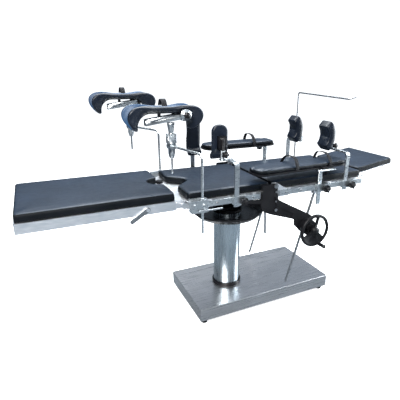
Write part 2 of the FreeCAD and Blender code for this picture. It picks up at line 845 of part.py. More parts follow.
# Leg section: a deep folded tray that carries the pad, notched in the middle of its hinge end
def leg_frame():
    s = leg_box_sheet
    z0, z1 = leg_box_bottom, leg_pad_bottom
    tray = box(leg_left, leg_right, -half, half, z0, z1)
    tray = tray.makeFillet(4, upright_edges(tray))
    tray = tray.cut(box(leg_left + s, leg_right - s, -half + s, half - s, z0 - 1, z1 - s))
    ribs = []
    for i in range(1, 4):
        x = leg_left + i * (leg_right - leg_notch_radius - leg_left) / 4
        ribs.append(box(x, x + 20, -half + 1, half - 1, z0 + 12, z1 - 1))
    for side in (-1, 1):
        y0, y1 = leg_ear_y - 16, leg_ear_y - 8
        ear = bar_at(side, leg_right - 70, leg_hinge_x, y0, y1, leg_hinge_z - 13, leg_hinge_z + 13)
        eye = rod(leg_eye_radius - 1, V(leg_hinge_x, side * y0, leg_hinge_z), V(leg_hinge_x, side * y1,
                                                                                leg_hinge_z))
        ribs.append(ear.fuse(eye))
    x, z = leg_lever_x, leg_lever_z
    ribs.append(rod(4, V(x, -half + 5, z), V(x, -half - 12, z)))
    ribs.append(rod(8, V(x, -half - 9, z), V(x, -half - 12, z)))
    tray = fuse(tray, *ribs)
    tray = tray.cut(Part.makeCylinder(leg_notch_radius, 100, V(leg_notch_x, 0, z0 - 5)))
    for side in (-1, 1):
        tray = tray.cut(rod(6 + running, V(leg_hinge_x, side * 200, leg_hinge_z), V(leg_hinge_x,
                                                                                    side * 240,
                                                                                    leg_hinge_z)))
    return tray


def leg_pad():
    pad = rounded_slab(leg_left, leg_right, -half, half, leg_pad_bottom, leg_top, pad_corner, pad_edge)
    return pad.cut(Part.makeCylinder(leg_notch_radius, 60, V(leg_notch_x, 0, leg_pad_bottom - 5)))


def leg_lever():
    x, z = leg_lever_x, leg_lever_z
    y0 = -half - 0.6
    y1 = y0 - 8.0
    tapered = plate_xz([(x + 7, z + 7), (x - 6, z + 9), (x - 84, z - 44), (x - 76, z - 59), (x + 6, z - 8)], y1, y0)
    ends = [e for e in tapered.Edges if e.BoundBox.YLength > 1 and e.BoundBox.XMax < x - 70]
    tapered = tapered.makeFillet(5, ends)
    eye = rod(11, V(x, y0, z), V(x, y1, z))
    return fuse(tapered, eye).cut(rod(4 + running, V(x, y0 + 2, z), V(x, y1 - 2, z)))


keep("leg_frame", leg_frame())
keep("leg_pad", leg_pad())
keep("leg_lever", leg_lever())


# Rail clamps. Every accessory is drawn for the right side and mirrored for the left.
def to_side(shape, side):
    if side > 0:
        return shape
    return shape.mirror(V(0, 0, 0), Y)


def clamp_block(x0, x1, outer, z0, z1):
    """A jaw that hooks over the rail, seen along X it is a J with a solid outer half."""
    gap = apart
    outline = [
        V(x0, rail_inner - clamp_lip, z1), V(x0, rail_inner - clamp_lip, rail_top - 8), V(x0,
                                                                                          rail_inner - gap, rail_top - 8),
        V(x0, rail_inner - gap, rail_top + gap), V(x0, rail_outer + gap, rail_top + gap),
        V(x0, rail_outer + gap, rail_bottom - gap), V(x0, rail_inner + 3, rail_bottom - gap),
        V(x0, rail_inner + 3, z0), V(x0, outer, z0), V(x0, outer, z1),
    ]
    return polygon(outline).extrude(V(x1 - x0, 0, 0))


bar_outer = bar_y + bar_thickness / 2 + 6
left_right = ((0, -1), (1, 1))


def bar_clamp(x, side, tail):
    """Clamp for a flat bar, with the seat of its star knob beside the bar."""
    x0 = x - bar_clamp_lead if tail > 0 else x - bar_clamp_tail
    x1 = x + bar_clamp_tail if tail > 0 else x + bar_clamp_lead
    block = clamp_block(x0, x1, bar_outer, bar_clamp_low, bar_clamp_high)
    w = bar_width / 2 + apart
    t = bar_thickness / 2 + apart
    block = block.cut(box(x - w, x + w, bar_y - t, bar_y + t, bar_clamp_low - 5, bar_clamp_high + 5))
    return to_side(block, side)


def bar_clamp_knob(x, side, tail):
    place = x + tail * 36
    z = (bar_clamp_low + bar_clamp_high) / 2 - 6
    stem = rod(5, V(place, bar_outer, z), V(place, bar_outer + 9, z))
    knob = star_knob(V(place, bar_outer + 8, z), Y, star_radius, 16)
    return to_side(stem.fuse(knob), side)


def holder_clamp(x, side):
    """Socket block of a leg holder, with a bolt, a lock screw and a T handle on its outer face."""
    outer = rod_y + holder_sleeve_radius + 5
    block = clamp_block(x - holder_clamp_lead, x + holder_clamp_tail, outer, holder_clamp_low,
                        holder_clamp_high)
    corners = [e for e in upright_edges(block) if e.BoundBox.YMin > outer - 0.1]
    block = block.makeFillet(6, corners)
    bolt = rod(11, V(x - 38, outer - 1, rail_top - 5), V(x - 38, outer + 6, rail_top - 5))
    screw = rod(9, V(x + 8, outer - 1, rail_top - 8), V(x + 8, outer + 9, rail_top - 8))
    middle = x + 10
    stem = rod(6, V(middle, outer - 1, tee_z), V(middle, outer + 9, tee_z))
    tee = rod(4, V(middle - tee_length / 3, outer + 9, tee_z), V(middle + tee_length * 2 / 3, outer + 9,
                                                                 tee_z))
    block = fuse(block, bolt, screw, stem, tee)
    bore = Part.makeCylinder(holder_sleeve_radius + running, 200, V(x, rod_y, holder_clamp_low - 20))
    return to_side(block.cut(bore), side)


seat_clamps = []
seat_knobs = []
back_clamps = []
back_knobs = []
for i, side in left_right:
    tail = -side
    seat_clamps.append(holder_clamp(leg_post_x[i], side))
    seat_clamps.append(bar_clamp(lateral_x[i], side, tail))
    seat_knobs.append(bar_clamp_knob(lateral_x[i], side, tail))
    for x in (arm_x[i], shoulder_x[i]):
        back_clamps.append(bar_clamp(x, side, tail))
        back_knobs.append(bar_clamp_knob(x, side, tail))


def screen_clamp():
    x = screen_x
    block = clamp_block(x - 12, x + 44, bar_outer, bar_clamp_low, bar_clamp_high)
    return block.cut(Part.makeCylinder(screen_radius + running, 90, V(x, bar_y, bar_clamp_low - 20)))


back_clamps.append(screen_clamp())
back_knobs.append(bar_clamp_knob(screen_x - 8, 1, 1))
keep("seat_clamps", *seat_clamps)
keep("seat_knobs", *seat_knobs)
keep("back_clamps", *back_clamps)
keep("back_knobs", *back_knobs)


# Leg holders: a sleeve that turns in the rail clamp, a cranked rod that slides in the sleeve,
# and a knee crutch on a ball mount at the end of the rod
def holder_sleeve(i):
    x = leg_post_x[i]
    low, high = holder_clamp_low - 4, holder_clamp_high + 5
    sleeve = Part.makeCylinder(holder_sleeve_radius, high - low, V(x, rod_y, low))
    lip = Part.makeCylinder(holder_sleeve_radius + 4, 4.6, V(x, rod_y, high - 4.6))
    return fuse(sleeve, lip).cut(Part.makeCylinder(rod_radius + running, 200, V(x, rod_y, low - 10)))


def crutch_point(i):
    return V(leg_post_x[i] + leg_reach_x[i], rod_y + leg_reach_y[i], leg_post_top[i])


def leg_post(i):
    x = leg_post_x[i]
    corner = V(x, rod_y, leg_post_top[i])
    end = crutch_point(i)
    past = (end - corner).normalize() * 26
    return bent_rod([V(x, rod_y, leg_post_low[i]), corner, end + past], rod_radius, leg_bend)


def crutch_beam(c):
    """The sloping slotted channel under the saddle, with the studs that carry the saddle."""
    x0, x1 = c.x - crutch_beam_left, c.x + crutch_beam_right
    low = c.z + beam_rise
    high = low + crutch_beam_slope
    deep = crutch_beam_height
    half_width = crutch_beam_width / 2
    beam = plate_xz([(x0, low), (x1, high), (x1, high + deep), (x0, low + deep)], c.y - half_width,
                    c.y + half_width)
    slot = plate_xz([(x0 + 30, low + 14), (x1 - 70, high + 8), (x1 - 70, high + 14), (x0 + 30, low + 20)],
                    c.y - 60, c.y + 60)
    studs = []
    for x in (c.x - 56, c.x + 14):
        studs.append(Part.makeCylinder(8, crutch_seat - beam_rise - 26, V(x, c.y, c.z + beam_rise + 26)))
    return [beam.cut(slot)] + studs


def crutch_plate(c):
    """Round plate with its clamping knob, on a tab that reaches out under the head-end lobe."""
    x, y, z = c.x + crutch_plate_x, c.y + crutch_lobe + 5, c.z + crutch_plate_z
    tab = box(x - 15, x + 15, c.y + crutch_beam_width / 2 - 6, y + 1, z - crutch_plate_radius, z - 9)
    foot = box(c.x + crutch_beam_right - 20, x + 15, c.y - 8, c.y + 16, z - crutch_plate_radius, z - 9)
    plate = rod(crutch_plate_radius, V(x, y, z), V(x, y + 5, z))
    stem = rod(5, V(x, y + 4, z), V(x, y + 11, z))
    knob = rod(14, V(x, y + 10, z), V(x, y + 24, z))
    return [tab, foot, plate, stem, knob]


def crutch_mount(i):
    """Ball mount: a collar on the rod, a block and funnel above it, a lock stem below it."""
    c = crutch_point(i)
    corner = V(leg_post_x[i], rod_y, leg_post_top[i])
    along = (c - corner).normalize()
    collar = rod(19, c - along * 17, c + along * 17)
    block = box(c.x - 23, c.x + 23, c.y - 17, c.y + 17, c.z + 15, c.z + 59)
    block = block.makeFillet(5, upright_edges(block))
    funnel = Part.makeCone(11, 19, beam_rise - 48, V(c.x, c.y, c.z + 58))
    clamp = Part.makeCone(12, 17, 22, V(c.x, c.y, c.z - 58))
    ball = Part.makeCylinder(17, 28, V(c.x, c.y, c.z - 36))
    stem = Part.makeCylinder(5, 84, V(c.x, c.y, c.z - 140))
    mount = fuse(collar, block, funnel, clamp, ball, stem, *crutch_beam(c), *crutch_plate(c))
    return mount.cut(rod(rod_radius + running, c - along * 80, c + along * 60))


def crutch_middle(i):
    c = crutch_point(i)
    return V(c.x + crutch_shift, c.y, c.z + crutch_seat)


def crutch_path(i):
    """The saddle's middle line: level at the waist and curling down at both ends."""
    m = crutch_middle(i)
    flat = crutch_length / 2 - crutch_curl * math.sin(crutch_curl_angle)
    ends = []
    for way in (-1, 1):
        curve = [V(m.x + way * (flat + crutch_curl * math.sin(a)), m.y,
                   m.z - crutch_curl * (1 - math.cos(a)))
                 for a in (0, crutch_curl_angle / 2, crutch_curl_angle)]
        ends.append(curve)
    left, right = ends
    return Part.Wire([
        Part.Arc(left[2], left[1], left[0]).toShape(),
        Part.LineSegment(left[0], right[0]).toShape(),
        Part.Arc(*right).toShape(),
    ])


def crutch_outline(i):
    """Seen from above: a round lobe at each end and a narrow waist."""
    m = crutch_middle(i)
    low, tall = m.z - 200, 400
    reach = crutch_length / 2 - crutch_lobe
    lobes = [Part.makeCylinder(crutch_lobe, tall, V(m.x + way * reach, m.y, low)) for way in (-1, 1)]
    waist = box(m.x - reach, m.x + reach, m.y - crutch_waist, m.y + crutch_waist, low, low + tall)
    outline = fuse(waist, *lobes)
    return outline.makeFillet(30, upright_edges(outline))


def crutch_gutter(i, radius):
    """A round bar swept along the saddle's middle line, which runs along its underside."""
    path = crutch_path(i)
    start = path.Edges[0].valueAt(path.Edges[0].FirstParameter)
    way = path.Edges[0].tangentAt(path.Edges[0].FirstParameter)
    up = way.cross(Y)
    if up.z < 0:
        up = up * -1
    ring = Part.Wire(Part.makeCircle(radius, start + up * crutch_gutter_radius, way))
    return path.makePipeShell([ring], True, False)


def crutch_shell(i):
    """Saddle form: a gutter that curls down at both ends, cut to a lobed outline and a low crown."""
    m = crutch_middle(i)
    outer = crutch_gutter(i, crutch_gutter_radius)
    inner = crutch_gutter(i, crutch_gutter_radius - crutch_shell_thickness)
    level = m.z + crutch_crown - crutch_crown_radius
    crown = Part.makeCylinder(crutch_crown_radius, 400, V(m.x, m.y - 200, level), Y)
    shell = outer.cut(inner).common(crutch_outline(i)).common(crown)
    return max(shell.Solids, key=lambda solid: solid.Volume)


def crutch_strap(i):
    """A webbing loop standing over the waist of the crutch."""
    m = crutch_middle(i)
    x = m.x - 12
    foot = m.z + 32.9
    outer = polygon([V(x, m.y - 34, foot), V(x, m.y + 34, foot), V(x, m.y + 10, foot + 32), V(x, m.y - 10, foot + 32)])
    inner = polygon([V(x - 1, m.y - 30, foot - 1), V(x - 1, m.y + 30, foot - 1), V(x - 1, m.y + 8,
                                                                                   foot + 29),
                     V(x - 1, m.y - 8, foot + 29)])
    return outer.extrude(V(26, 0, 0)).cut(inner.extrude(V(30, 0, 0)))


# Lateral supports: a cranked flat bar on the seat rail and a curved body pad
def cranked_bar(x, low, top, reach, bend):
    """A flat bar that stands on the rail and turns in over the table."""
    t = bar_thickness
    y = bar_y - t / 2
    path = bent_wire([V(x, y, low), V(x, y, top - t), V(x, y - reach, top - t)], bend)
    w = bar_width / 2
    ring = Part.makePolygon([V(x - w, y, low), V(x + w, y, low), V(x + w, y + t, low),
                             V(x - w, y + t, low), V(x - w, y, low)])
    return path.makePipeShell([ring], True, False)


lateral_y = bar_y - bar_thickness / 2 - lateral_reach


def lateral_bar(i):
    x = lateral_x[i]
    z = lateral_top
    bar = cranked_bar(x, lateral_low, z, lateral_reach, 16)
    far = x - lateral_pad_shift
    plate = box(far - 14, x + 12, lateral_y - 14, lateral_y + 14, z, z + 7)
    gusset = plate_xz([(far + 4, z + 6), (x - 2, z + 6), (far + 12, z + 46), (far + 4, z + 46)],
                      lateral_y - 4, lateral_y + 4)
    socket = Part.makeCylinder(14, lateral_socket, V(far, lateral_y, z))
    socket = fuse(bar, plate, gusset, socket).cut(Part.makeCylinder(7 + running, 80, V(far, lateral_y,
                                                                                       z + 7)))
    stem = rod(5, V(far, lateral_y + 13.6, z + 33), V(far, lateral_y + 22, z + 33))
    knob = star_knob(V(far, lateral_y + 21, z + 33), Y, 18, 14)
    return fuse(socket, stem, knob)


def curved_pad(length, height, thick, radius, corner):
    """A body pad, concave towards -Y, its middle at the origin, its length along X."""
    angle = math.asin(min(0.98, height / 2 / (radius + thick)))
    points = []
    for r in (radius, radius + thick):
        points.append([V(-length / 2, r * math.cos(a) - radius, r * math.sin(a)) for a in (-angle, 0, angle)])
    edges = [
        Part.Arc(*points[0]).toShape(),
        Part.LineSegment(points[0][2], points[1][2]).toShape(),
        Part.Arc(*reversed(points[1])).toShape(),
        Part.LineSegment(points[1][0], points[0][0]).toShape(),
    ]
    pad = Part.Face(Part.Wire(edges)).extrude(V(length, 0, 0))
    ends = [e for e in pad.Edges if e.Length < thick + 0.1 and e.BoundBox.XLength < 0.01]
    pad = pad.makeFillet(corner, ends)
    return pad


def hooked_pad(length, height, thick, curl, curl_angle):
    """A body pad, flat above and curling towards -Y below; its flat back lies on Y = 0."""
    top = V(0, -thick / 2, height - thick / 2)
    low = V(0, -thick / 2, curl)
    centre = V(0, -thick / 2 - curl, curl)
    def around(angle):
        return centre + V(0, curl * math.cos(angle), -curl * math.sin(angle))
    path = Part.Wire([
        Part.LineSegment(top, low).toShape(),
        Part.Arc(low, around(curl_angle / 2), around(curl_angle)).toShape(),
    ])
    ring = Part.makePolygon([V(-length / 2, 0, top.z), V(length / 2, 0, top.z), V(length / 2, -thick,
                                                                                  top.z),
                             V(-length / 2, -thick, top.z), V(-length / 2, 0, top.z)])
    pad = path.makePipeShell([ring], True, False)
    outline = box(-length / 2, length / 2, -200, 50, -60, height - thick / 2)
    corners = [e for e in outline.Edges if e.BoundBox.YLength > 1]
    return pad.common(outline.makeFillet(length * 0.42, corners))


def lateral_pad(i):
    x = lateral_x[i] - lateral_pad_shift
    tall = lateral_pad_height[i]
    pad = hooked_pad(lateral_pad_length, tall, lateral_pad_thick, lateral_pad_curl, math.radians(70))
    pad.translate(V(x, lateral_y - 26, lateral_pad_low[i]))
    pin = Part.makeCylinder(7, 92, V(x, lateral_y, lateral_top + 7.4))
    plate = box(x - 20, x + 20, lateral_y - 26, lateral_y - 3, lateral_top + lateral_socket + 2,
                lateral_top + 116)
    return [pad, fuse(pin, plate)]


# Arm boards: a bar on the back rail, a top plate with a pivot, a board with a cushion
def arm_post(i):
    x = arm_x[i]
    side = left_right[i][1]
    top = arm_top + arm_rise[i]
    bar = box(x - bar_width / 2, x + bar_width / 2, bar_y - bar_thickness / 2, bar_y + bar_thickness / 2,
              arm_low, top - arm_plate_thickness)
    inner = bar_y - 34 if side < 0 else bar_y - 6
    outer = bar_y + 6 if side < 0 else bar_y + 34
    plate = box(x - arm_plate_back[i], x + arm_plate_out[i], inner, outer, top - arm_plate_thickness, top)
    plate = plate.makeFillet(5, upright_edges(plate))
    pivot_y = (inner + outer) / 2
    pin = Part.makeCylinder(6, arm_board_thickness, V(x + arm_pivot[i], pivot_y, top - 1))
    knob = Part.makeCylinder(17, 15, V(x + arm_pivot[i], pivot_y, top - arm_plate_thickness - 15))
    knob = knob.makeChamfer(3,
                            [e for e in knob.Edges if e.BoundBox.ZMax < top - arm_plate_thickness - 14.9])
    return fuse(bar, plate, pin, knob)


def arm_pivot_y(i):
    return bar_y - 14 if i == 0 else bar_y + 14


def board_level(i):
    return arm_top + arm_rise[i] + 4


def board_turned(shape, i):
    """The board and what lies on it, turned on its pivot."""
    return turned(shape, V(arm_x[i] + arm_pivot[i], arm_pivot_y(i), 0), Z, arm_board_turn[i])


def board_outline(i, z, height, inset):
    """A long board with both ends fully rounded."""
    x0 = arm_board_left[i] + inset
    x1 = arm_board_left[i] + arm_board_length[i] - inset
    y = arm_board_centre[i]
    w = arm_board_width / 2 - inset
    board = box(x0, x1, y - w, y + w, z, z + height)
    return board.makeFillet(min(w * 0.8, 55), upright_edges(board))


def arm_board(i):
    z = board_level(i)
    board = board_outline(i, z, arm_board_thickness, 0)
    x, y = arm_x[i] + arm_pivot[i], arm_pivot_y(i)
    washer = Part.makeCylinder(13, 4 - 0.4, V(x, y, z - 3.6))
    carrier = box(x - 40, x + 40, y - 12, y + 12, z, z + arm_board_thickness - 1)
    board = fuse(board, carrier, washer)
    return board.cut(Part.makeCylinder(6 + running, 30, V(x, y, z - 10)))


def arm_cushion(i):
    z = board_level(i) + arm_board_thickness
    cushion = board_outline(i, z, arm_cushion_thickness, cushion_inset)
    top = [e for e in cushion.Edges if e.BoundBox.ZMin > z + arm_cushion_thickness - 0.01]
    return cushion.makeChamfer(5, top)


def strap_face(x, y, half_width, low, level, rise):
    """The outline of a strap that stands up both sides and arches over."""
    return Part.Face(Part.Wire([
        Part.LineSegment(V(x, y + half_width, low), V(x, y + half_width, level)).toShape(),
        Part.Arc(V(x, y + half_width, level), V(x, y, level + rise), V(x, y - half_width, level)).toShape(),
        Part.LineSegment(V(x, y - half_width, level), V(x, y - half_width, low)).toShape(),
        Part.LineSegment(V(x, y - half_width, low), V(x, y + half_width, low)).toShape(),
    ]))


def arm_straps(i):
    """Two webbing loops that arch across the cushion and pass down its sides."""
    low = board_level(i) + arm_board_thickness + apart
    z = board_level(i) + arm_board_thickness + arm_cushion_thickness
    w = arm_board_width / 2 - cushion_inset + apart / 2 + strap_thickness
    y = arm_board_centre[i]
    straps = []
    for share in arm_strap_shares[i]:
        x = arm_board_left[i] + arm_board_length[i] * share
        outer = strap_face(x, y, w, low, z, strap_rise).extrude(V(strap_width, 0, 0))
        inner = strap_face(x - 1, y, w - strap_thickness, low - 2, z, strap_rise - strap_thickness)
        straps.append(outer.cut(inner.extrude(V(strap_width + 2, 0, 0))))
    return straps


# Shoulder supports: a cranked flat bar on the back rail and a saddle pad for the shoulder
shoulder_y = bar_y - bar_thickness / 2 - shoulder_reach


def shoulder_bar(i):
    x = shoulder_x[i]
    z = shoulder_top
    bar = cranked_bar(x, shoulder_low, z, shoulder_reach + 14, 16)
    socket = Part.makeCylinder(13, 24, V(x, shoulder_y, z))
    socket = fuse(bar, socket).cut(Part.makeCylinder(7 + running, 40, V(x, shoulder_y, z + 3)))
    stem = rod(5, V(x, shoulder_y + 12.5, z + 16), V(x, shoulder_y + 20, z + 16))
    knob = star_knob(V(x, shoulder_y + 19, z + 16), Y, 16, 13)
    return fuse(socket, stem, knob)


def shoulder_pad(i):
    x = shoulder_x[i]
    tall = shoulder_pad_height
    pad = curved_pad(shoulder_pad_width, tall, shoulder_pad_thick, tall * 0.42, 16)
    pad.rotate(V(0, 0, 0), Z, -90)
    pad.translate(V(x - 20 - shoulder_pad_thick, shoulder_y, shoulder_top + 76))
    pin = Part.makeCylinder(7, 84, V(x, shoulder_y, shoulder_top + 3.4))
    plate = box(x - 24, x - 5, shoulder_y - 16, shoulder_y + 16, shoulder_top + 30, shoulder_top + 90)
    return [pad.cut(plate), fuse(pin, plate)]


names = ("left", "right")
for i, side in left_right:
    end = "_" + names[i]
    keep("holder_sleeve" + end, to_side(holder_sleeve(i), side))
    keep("leg_post" + end, to_side(leg_post(i), side))
    keep("crutch_mount" + end, to_side(crutch_mount(i), side))
    keep("crutch_shell" + end, *[to_side(s, side) for s in (crutch_shell(i), crutch_strap(i))])
    keep("lateral_bar" + end, to_side(lateral_bar(i), side))
    keep("lateral_pad" + end, *[to_side(s, side) for s in lateral_pad(i)])
    keep("arm_board" + end, to_side(board_turned(arm_board(i), i), side))
    keep("arm_cushion" + end, to_side(board_turned(arm_cushion(i), i), side))
    keep("arm_straps" + end, *[to_side(board_turned(s, i), side) for s in arm_straps(i)])
    keep("shoulder_bar" + end, to_side(shoulder_bar(i), side))
    keep("shoulder_pad" + end, *[to_side(s, side) for s in shoulder_pad(i)])
keep("arm_posts", *[to_side(arm_post(i), side) for i, side in left_right])


# Screen rod: stands on the right rail and crosses over the patient to the left
def screen_rod():
    return bent_rod([
        V(screen_x, bar_y, bar_clamp_low - 12), V(screen_x, bar_y, screen_top),
        V(screen_x - 89, -279, screen_top - 2), V(screen_x - 60, -296, screen_top + 10),
    ], screen_radius, 14)


keep("screen_rod", screen_rod())

everything = Part.makeCompound([s for solids in nodes.values() for s in solids])
extent = everything.optimalBoundingBox(False, False)
shift = V(-(extent.XMin + extent.XMax) / 2, -(extent.YMin + extent.YMax) / 2, -extent.ZMin)
for solids in nodes.values():
    for solid in solids:
        solid.translate(shift)

for name, solids in nodes.items():
    Part.makeCompound(solids).exportStep("parts/" + name + ".step")
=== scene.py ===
import bpy
import bmesh
import math
import time
from mathutils import Matrix, Vector


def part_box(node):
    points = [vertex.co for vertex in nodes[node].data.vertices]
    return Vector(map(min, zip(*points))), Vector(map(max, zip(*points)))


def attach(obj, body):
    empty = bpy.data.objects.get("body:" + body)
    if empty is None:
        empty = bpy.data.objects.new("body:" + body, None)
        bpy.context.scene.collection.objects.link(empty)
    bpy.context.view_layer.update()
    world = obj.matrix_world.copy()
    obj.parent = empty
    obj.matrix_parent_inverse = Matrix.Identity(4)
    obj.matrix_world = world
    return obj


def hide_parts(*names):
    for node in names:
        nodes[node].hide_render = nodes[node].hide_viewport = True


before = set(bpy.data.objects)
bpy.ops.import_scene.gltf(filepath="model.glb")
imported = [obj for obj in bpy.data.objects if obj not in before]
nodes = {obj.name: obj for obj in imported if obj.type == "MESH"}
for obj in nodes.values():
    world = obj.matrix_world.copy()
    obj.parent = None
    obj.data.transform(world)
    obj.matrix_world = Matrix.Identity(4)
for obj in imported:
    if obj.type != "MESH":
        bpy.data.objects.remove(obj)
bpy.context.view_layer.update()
startTime = time.time()


def report(stage):
    print("operating table:", stage, "after %.0f s" % (time.time() - startTime))


# The table's own grid: millimetres from the column's axis at the floor, as the CAD part uses it
sleeveLow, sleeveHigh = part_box("column_sleeve")
columnX = (sleeveLow[0] + sleeveHigh[0]) / 2
columnY = (sleeveLow[1] + sleeveHigh[1]) / 2


def at(x, y, z):
    return Vector((columnX + x / 1000, columnY + y / 1000, z / 1000))


def onGrid(point):
    return Vector(((point.x - columnX) * 1000, (point.y - columnY) * 1000, point.z * 1000))


# Materials
def startMaterial(name):
    material = bpy.data.materials.new(name)
    material.use_nodes = True
    tree = material.node_tree
    shader = tree.nodes["Principled BSDF"]
    place = tree.nodes.new("ShaderNodeTexCoord")
    return material, tree, shader, place.outputs["Object"]


def noiseAt(tree, place, size, detail=3.0, stretch=None, rough=0.55):
    noise = tree.nodes.new("ShaderNodeTexNoise")
    noise.inputs["Scale"].default_value = 1.0 / size
    noise.inputs["Detail"].default_value = detail
    noise.inputs["Roughness"].default_value = rough
    if stretch is None:
        tree.links.new(place, noise.inputs["Vector"])
    else:
        mapping = tree.nodes.new("ShaderNodeMapping")
        mapping.inputs["Scale"].default_value = stretch
        tree.links.new(place, mapping.inputs["Vector"])
        tree.links.new(mapping.outputs["Vector"], noise.inputs["Vector"])
    return noise.outputs["Fac"]


def rampOf(tree, source, stops):
    ramp = tree.nodes.new("ShaderNodeValToRGB")
    while len(ramp.color_ramp.elements) < len(stops):
        ramp.color_ramp.elements.new(0.5)
    for element, (place, value) in zip(ramp.color_ramp.elements, stops):
        element.position = place
        element.color = value if len(value) == 4 else (*value, 1.0)
    tree.links.new(source, ramp.inputs["Fac"])
    return ramp.outputs["Color"]


def rangeOf(tree, source, low, high):
    span = tree.nodes.new("ShaderNodeMapRange")
    span.inputs["From Min"].default_value = 0.3
    span.inputs["From Max"].default_value = 0.7
    span.inputs["To Min"].default_value = low
    span.inputs["To Max"].default_value = high
    tree.links.new(source, span.inputs["Value"])
    return span.outputs["Result"]


def bumpOf(tree, source, shader, strength, distance):
    bump = tree.nodes.new("ShaderNodeBump")
    bump.inputs["Strength"].default_value = strength
    bump.inputs["Distance"].default_value = distance
    tree.links.new(source, bump.inputs["Height"])
    tree.links.new(bump.outputs["Normal"], shader.inputs["Normal"])


def toneOf(tree, source, shader, dark, light, low=0.3):
    tone = rampOf(tree, source, ((low, dark), (1.0 - low, light)))
    tree.links.new(tone, shader.inputs["Base Color"])


grain = {
    "metalPatch": 0.12,   # size of the soft patches in each kind of surface, metres
    "paintPatch": 0.09,
    "vinylPatch": 0.16,
    "wrinkle": 0.03,      # size of the vinyl's shallow wrinkles, metres
    "patchShare": 0.35,   # how much of a metal's tone the patches make, the rest is streaks
    "weave": 260.0,       # ribs of webbing in a metre, roughly
}


def metalFinish(name, dark, light, rough, streak, stretch, bump=0.05):
    material, tree, shader, place = startMaterial(name)
    streaks = noiseAt(tree, place, streak, 4.0, stretch)
    cloud = noiseAt(tree, place, grain["metalPatch"], 2.0)
    mix = tree.nodes.new("ShaderNodeMath")
    mix.operation = "MULTIPLY_ADD"
    mix.inputs[1].default_value = grain["patchShare"]
    tree.links.new(cloud, mix.inputs[0])
    scaled = tree.nodes.new("ShaderNodeMath")
    scaled.operation = "MULTIPLY"
    scaled.inputs[1].default_value = 1.0 - grain["patchShare"]
    tree.links.new(streaks, scaled.inputs[0])
    tree.links.new(scaled.outputs["Value"], mix.inputs[2])
    toneOf(tree, mix.outputs["Value"], shader, dark, light)
    tree.links.new(rangeOf(tree, streaks, rough * 0.8, rough * 1.25), shader.inputs["Roughness"])
    shader.inputs["Metallic"].default_value = 1.0
    bumpOf(tree, streaks, shader, bump, 0.0004)
    return material


def paintFinish(name, dark, light, rough, speck, bump, gloss):
    material, tree, shader, place = startMaterial(name)
    peel = noiseAt(tree, place, speck, 3.0)
    cloud = noiseAt(tree, place, grain["paintPatch"], 3.0)
    toneOf(tree, cloud, shader, dark, light)
    tree.links.new(rangeOf(tree, peel, rough * 0.85, rough * 1.15), shader.inputs["Roughness"])
    shader.inputs["Specular IOR Level"].default_value = gloss
    bumpOf(tree, peel, shader, bump, 0.0006)
    return material


def vinylFinish(name, dark, light, rough, gloss, cell=0.0022):
    material, tree, shader, place = startMaterial(name)
    cells = tree.nodes.new("ShaderNodeTexVoronoi")
    cells.feature = "DISTANCE_TO_EDGE"
    cells.inputs["Scale"].default_value = 1.0 / cell
    tree.links.new(place, cells.inputs["Vector"])
    wrinkle = noiseAt(tree, place, grain["wrinkle"], 4.0)
    cloud = noiseAt(tree, place, grain["vinylPatch"], 3.0)
    toneOf(tree, cloud, shader, dark, light, 0.32)
    tree.links.new(rangeOf(tree, wrinkle, rough * 0.88, rough * 1.12), shader.inputs["Roughness"])
    shader.inputs["Specular IOR Level"].default_value = gloss
    fine = tree.nodes.new("ShaderNodeBump")
    fine.inputs["Strength"].default_value = 0.12
    fine.inputs["Distance"].default_value = 0.0003
    tree.links.new(cells.outputs["Distance"], fine.inputs["Height"])
    coarse = tree.nodes.new("ShaderNodeBump")
    coarse.inputs["Strength"].default_value = 0.10
    coarse.inputs["Distance"].default_value = 0.003
    tree.links.new(wrinkle, coarse.inputs["Height"])
    tree.links.new(fine.outputs["Normal"], coarse.inputs["Normal"])
    tree.links.new(coarse.outputs["Normal"], shader.inputs["Normal"])
    return material


def webbingFinish(name, dark, light):
    material, tree, shader, place = startMaterial(name)
    weave = tree.nodes.new("ShaderNodeTexWave")
    weave.inputs["Scale"].default_value = grain["weave"]
    weave.inputs["Distortion"].default_value = 0.4
    tree.links.new(place, weave.inputs["Vector"])
    toneOf(tree, weave.outputs["Fac"], shader, dark, light, 0.2)
    shader.inputs["Roughness"].default_value = 0.7
    shader.inputs["Specular IOR Level"].default_value = 0.2
    bumpOf(tree, weave.outputs["Fac"], shader, 0.4, 0.0005)
    return material


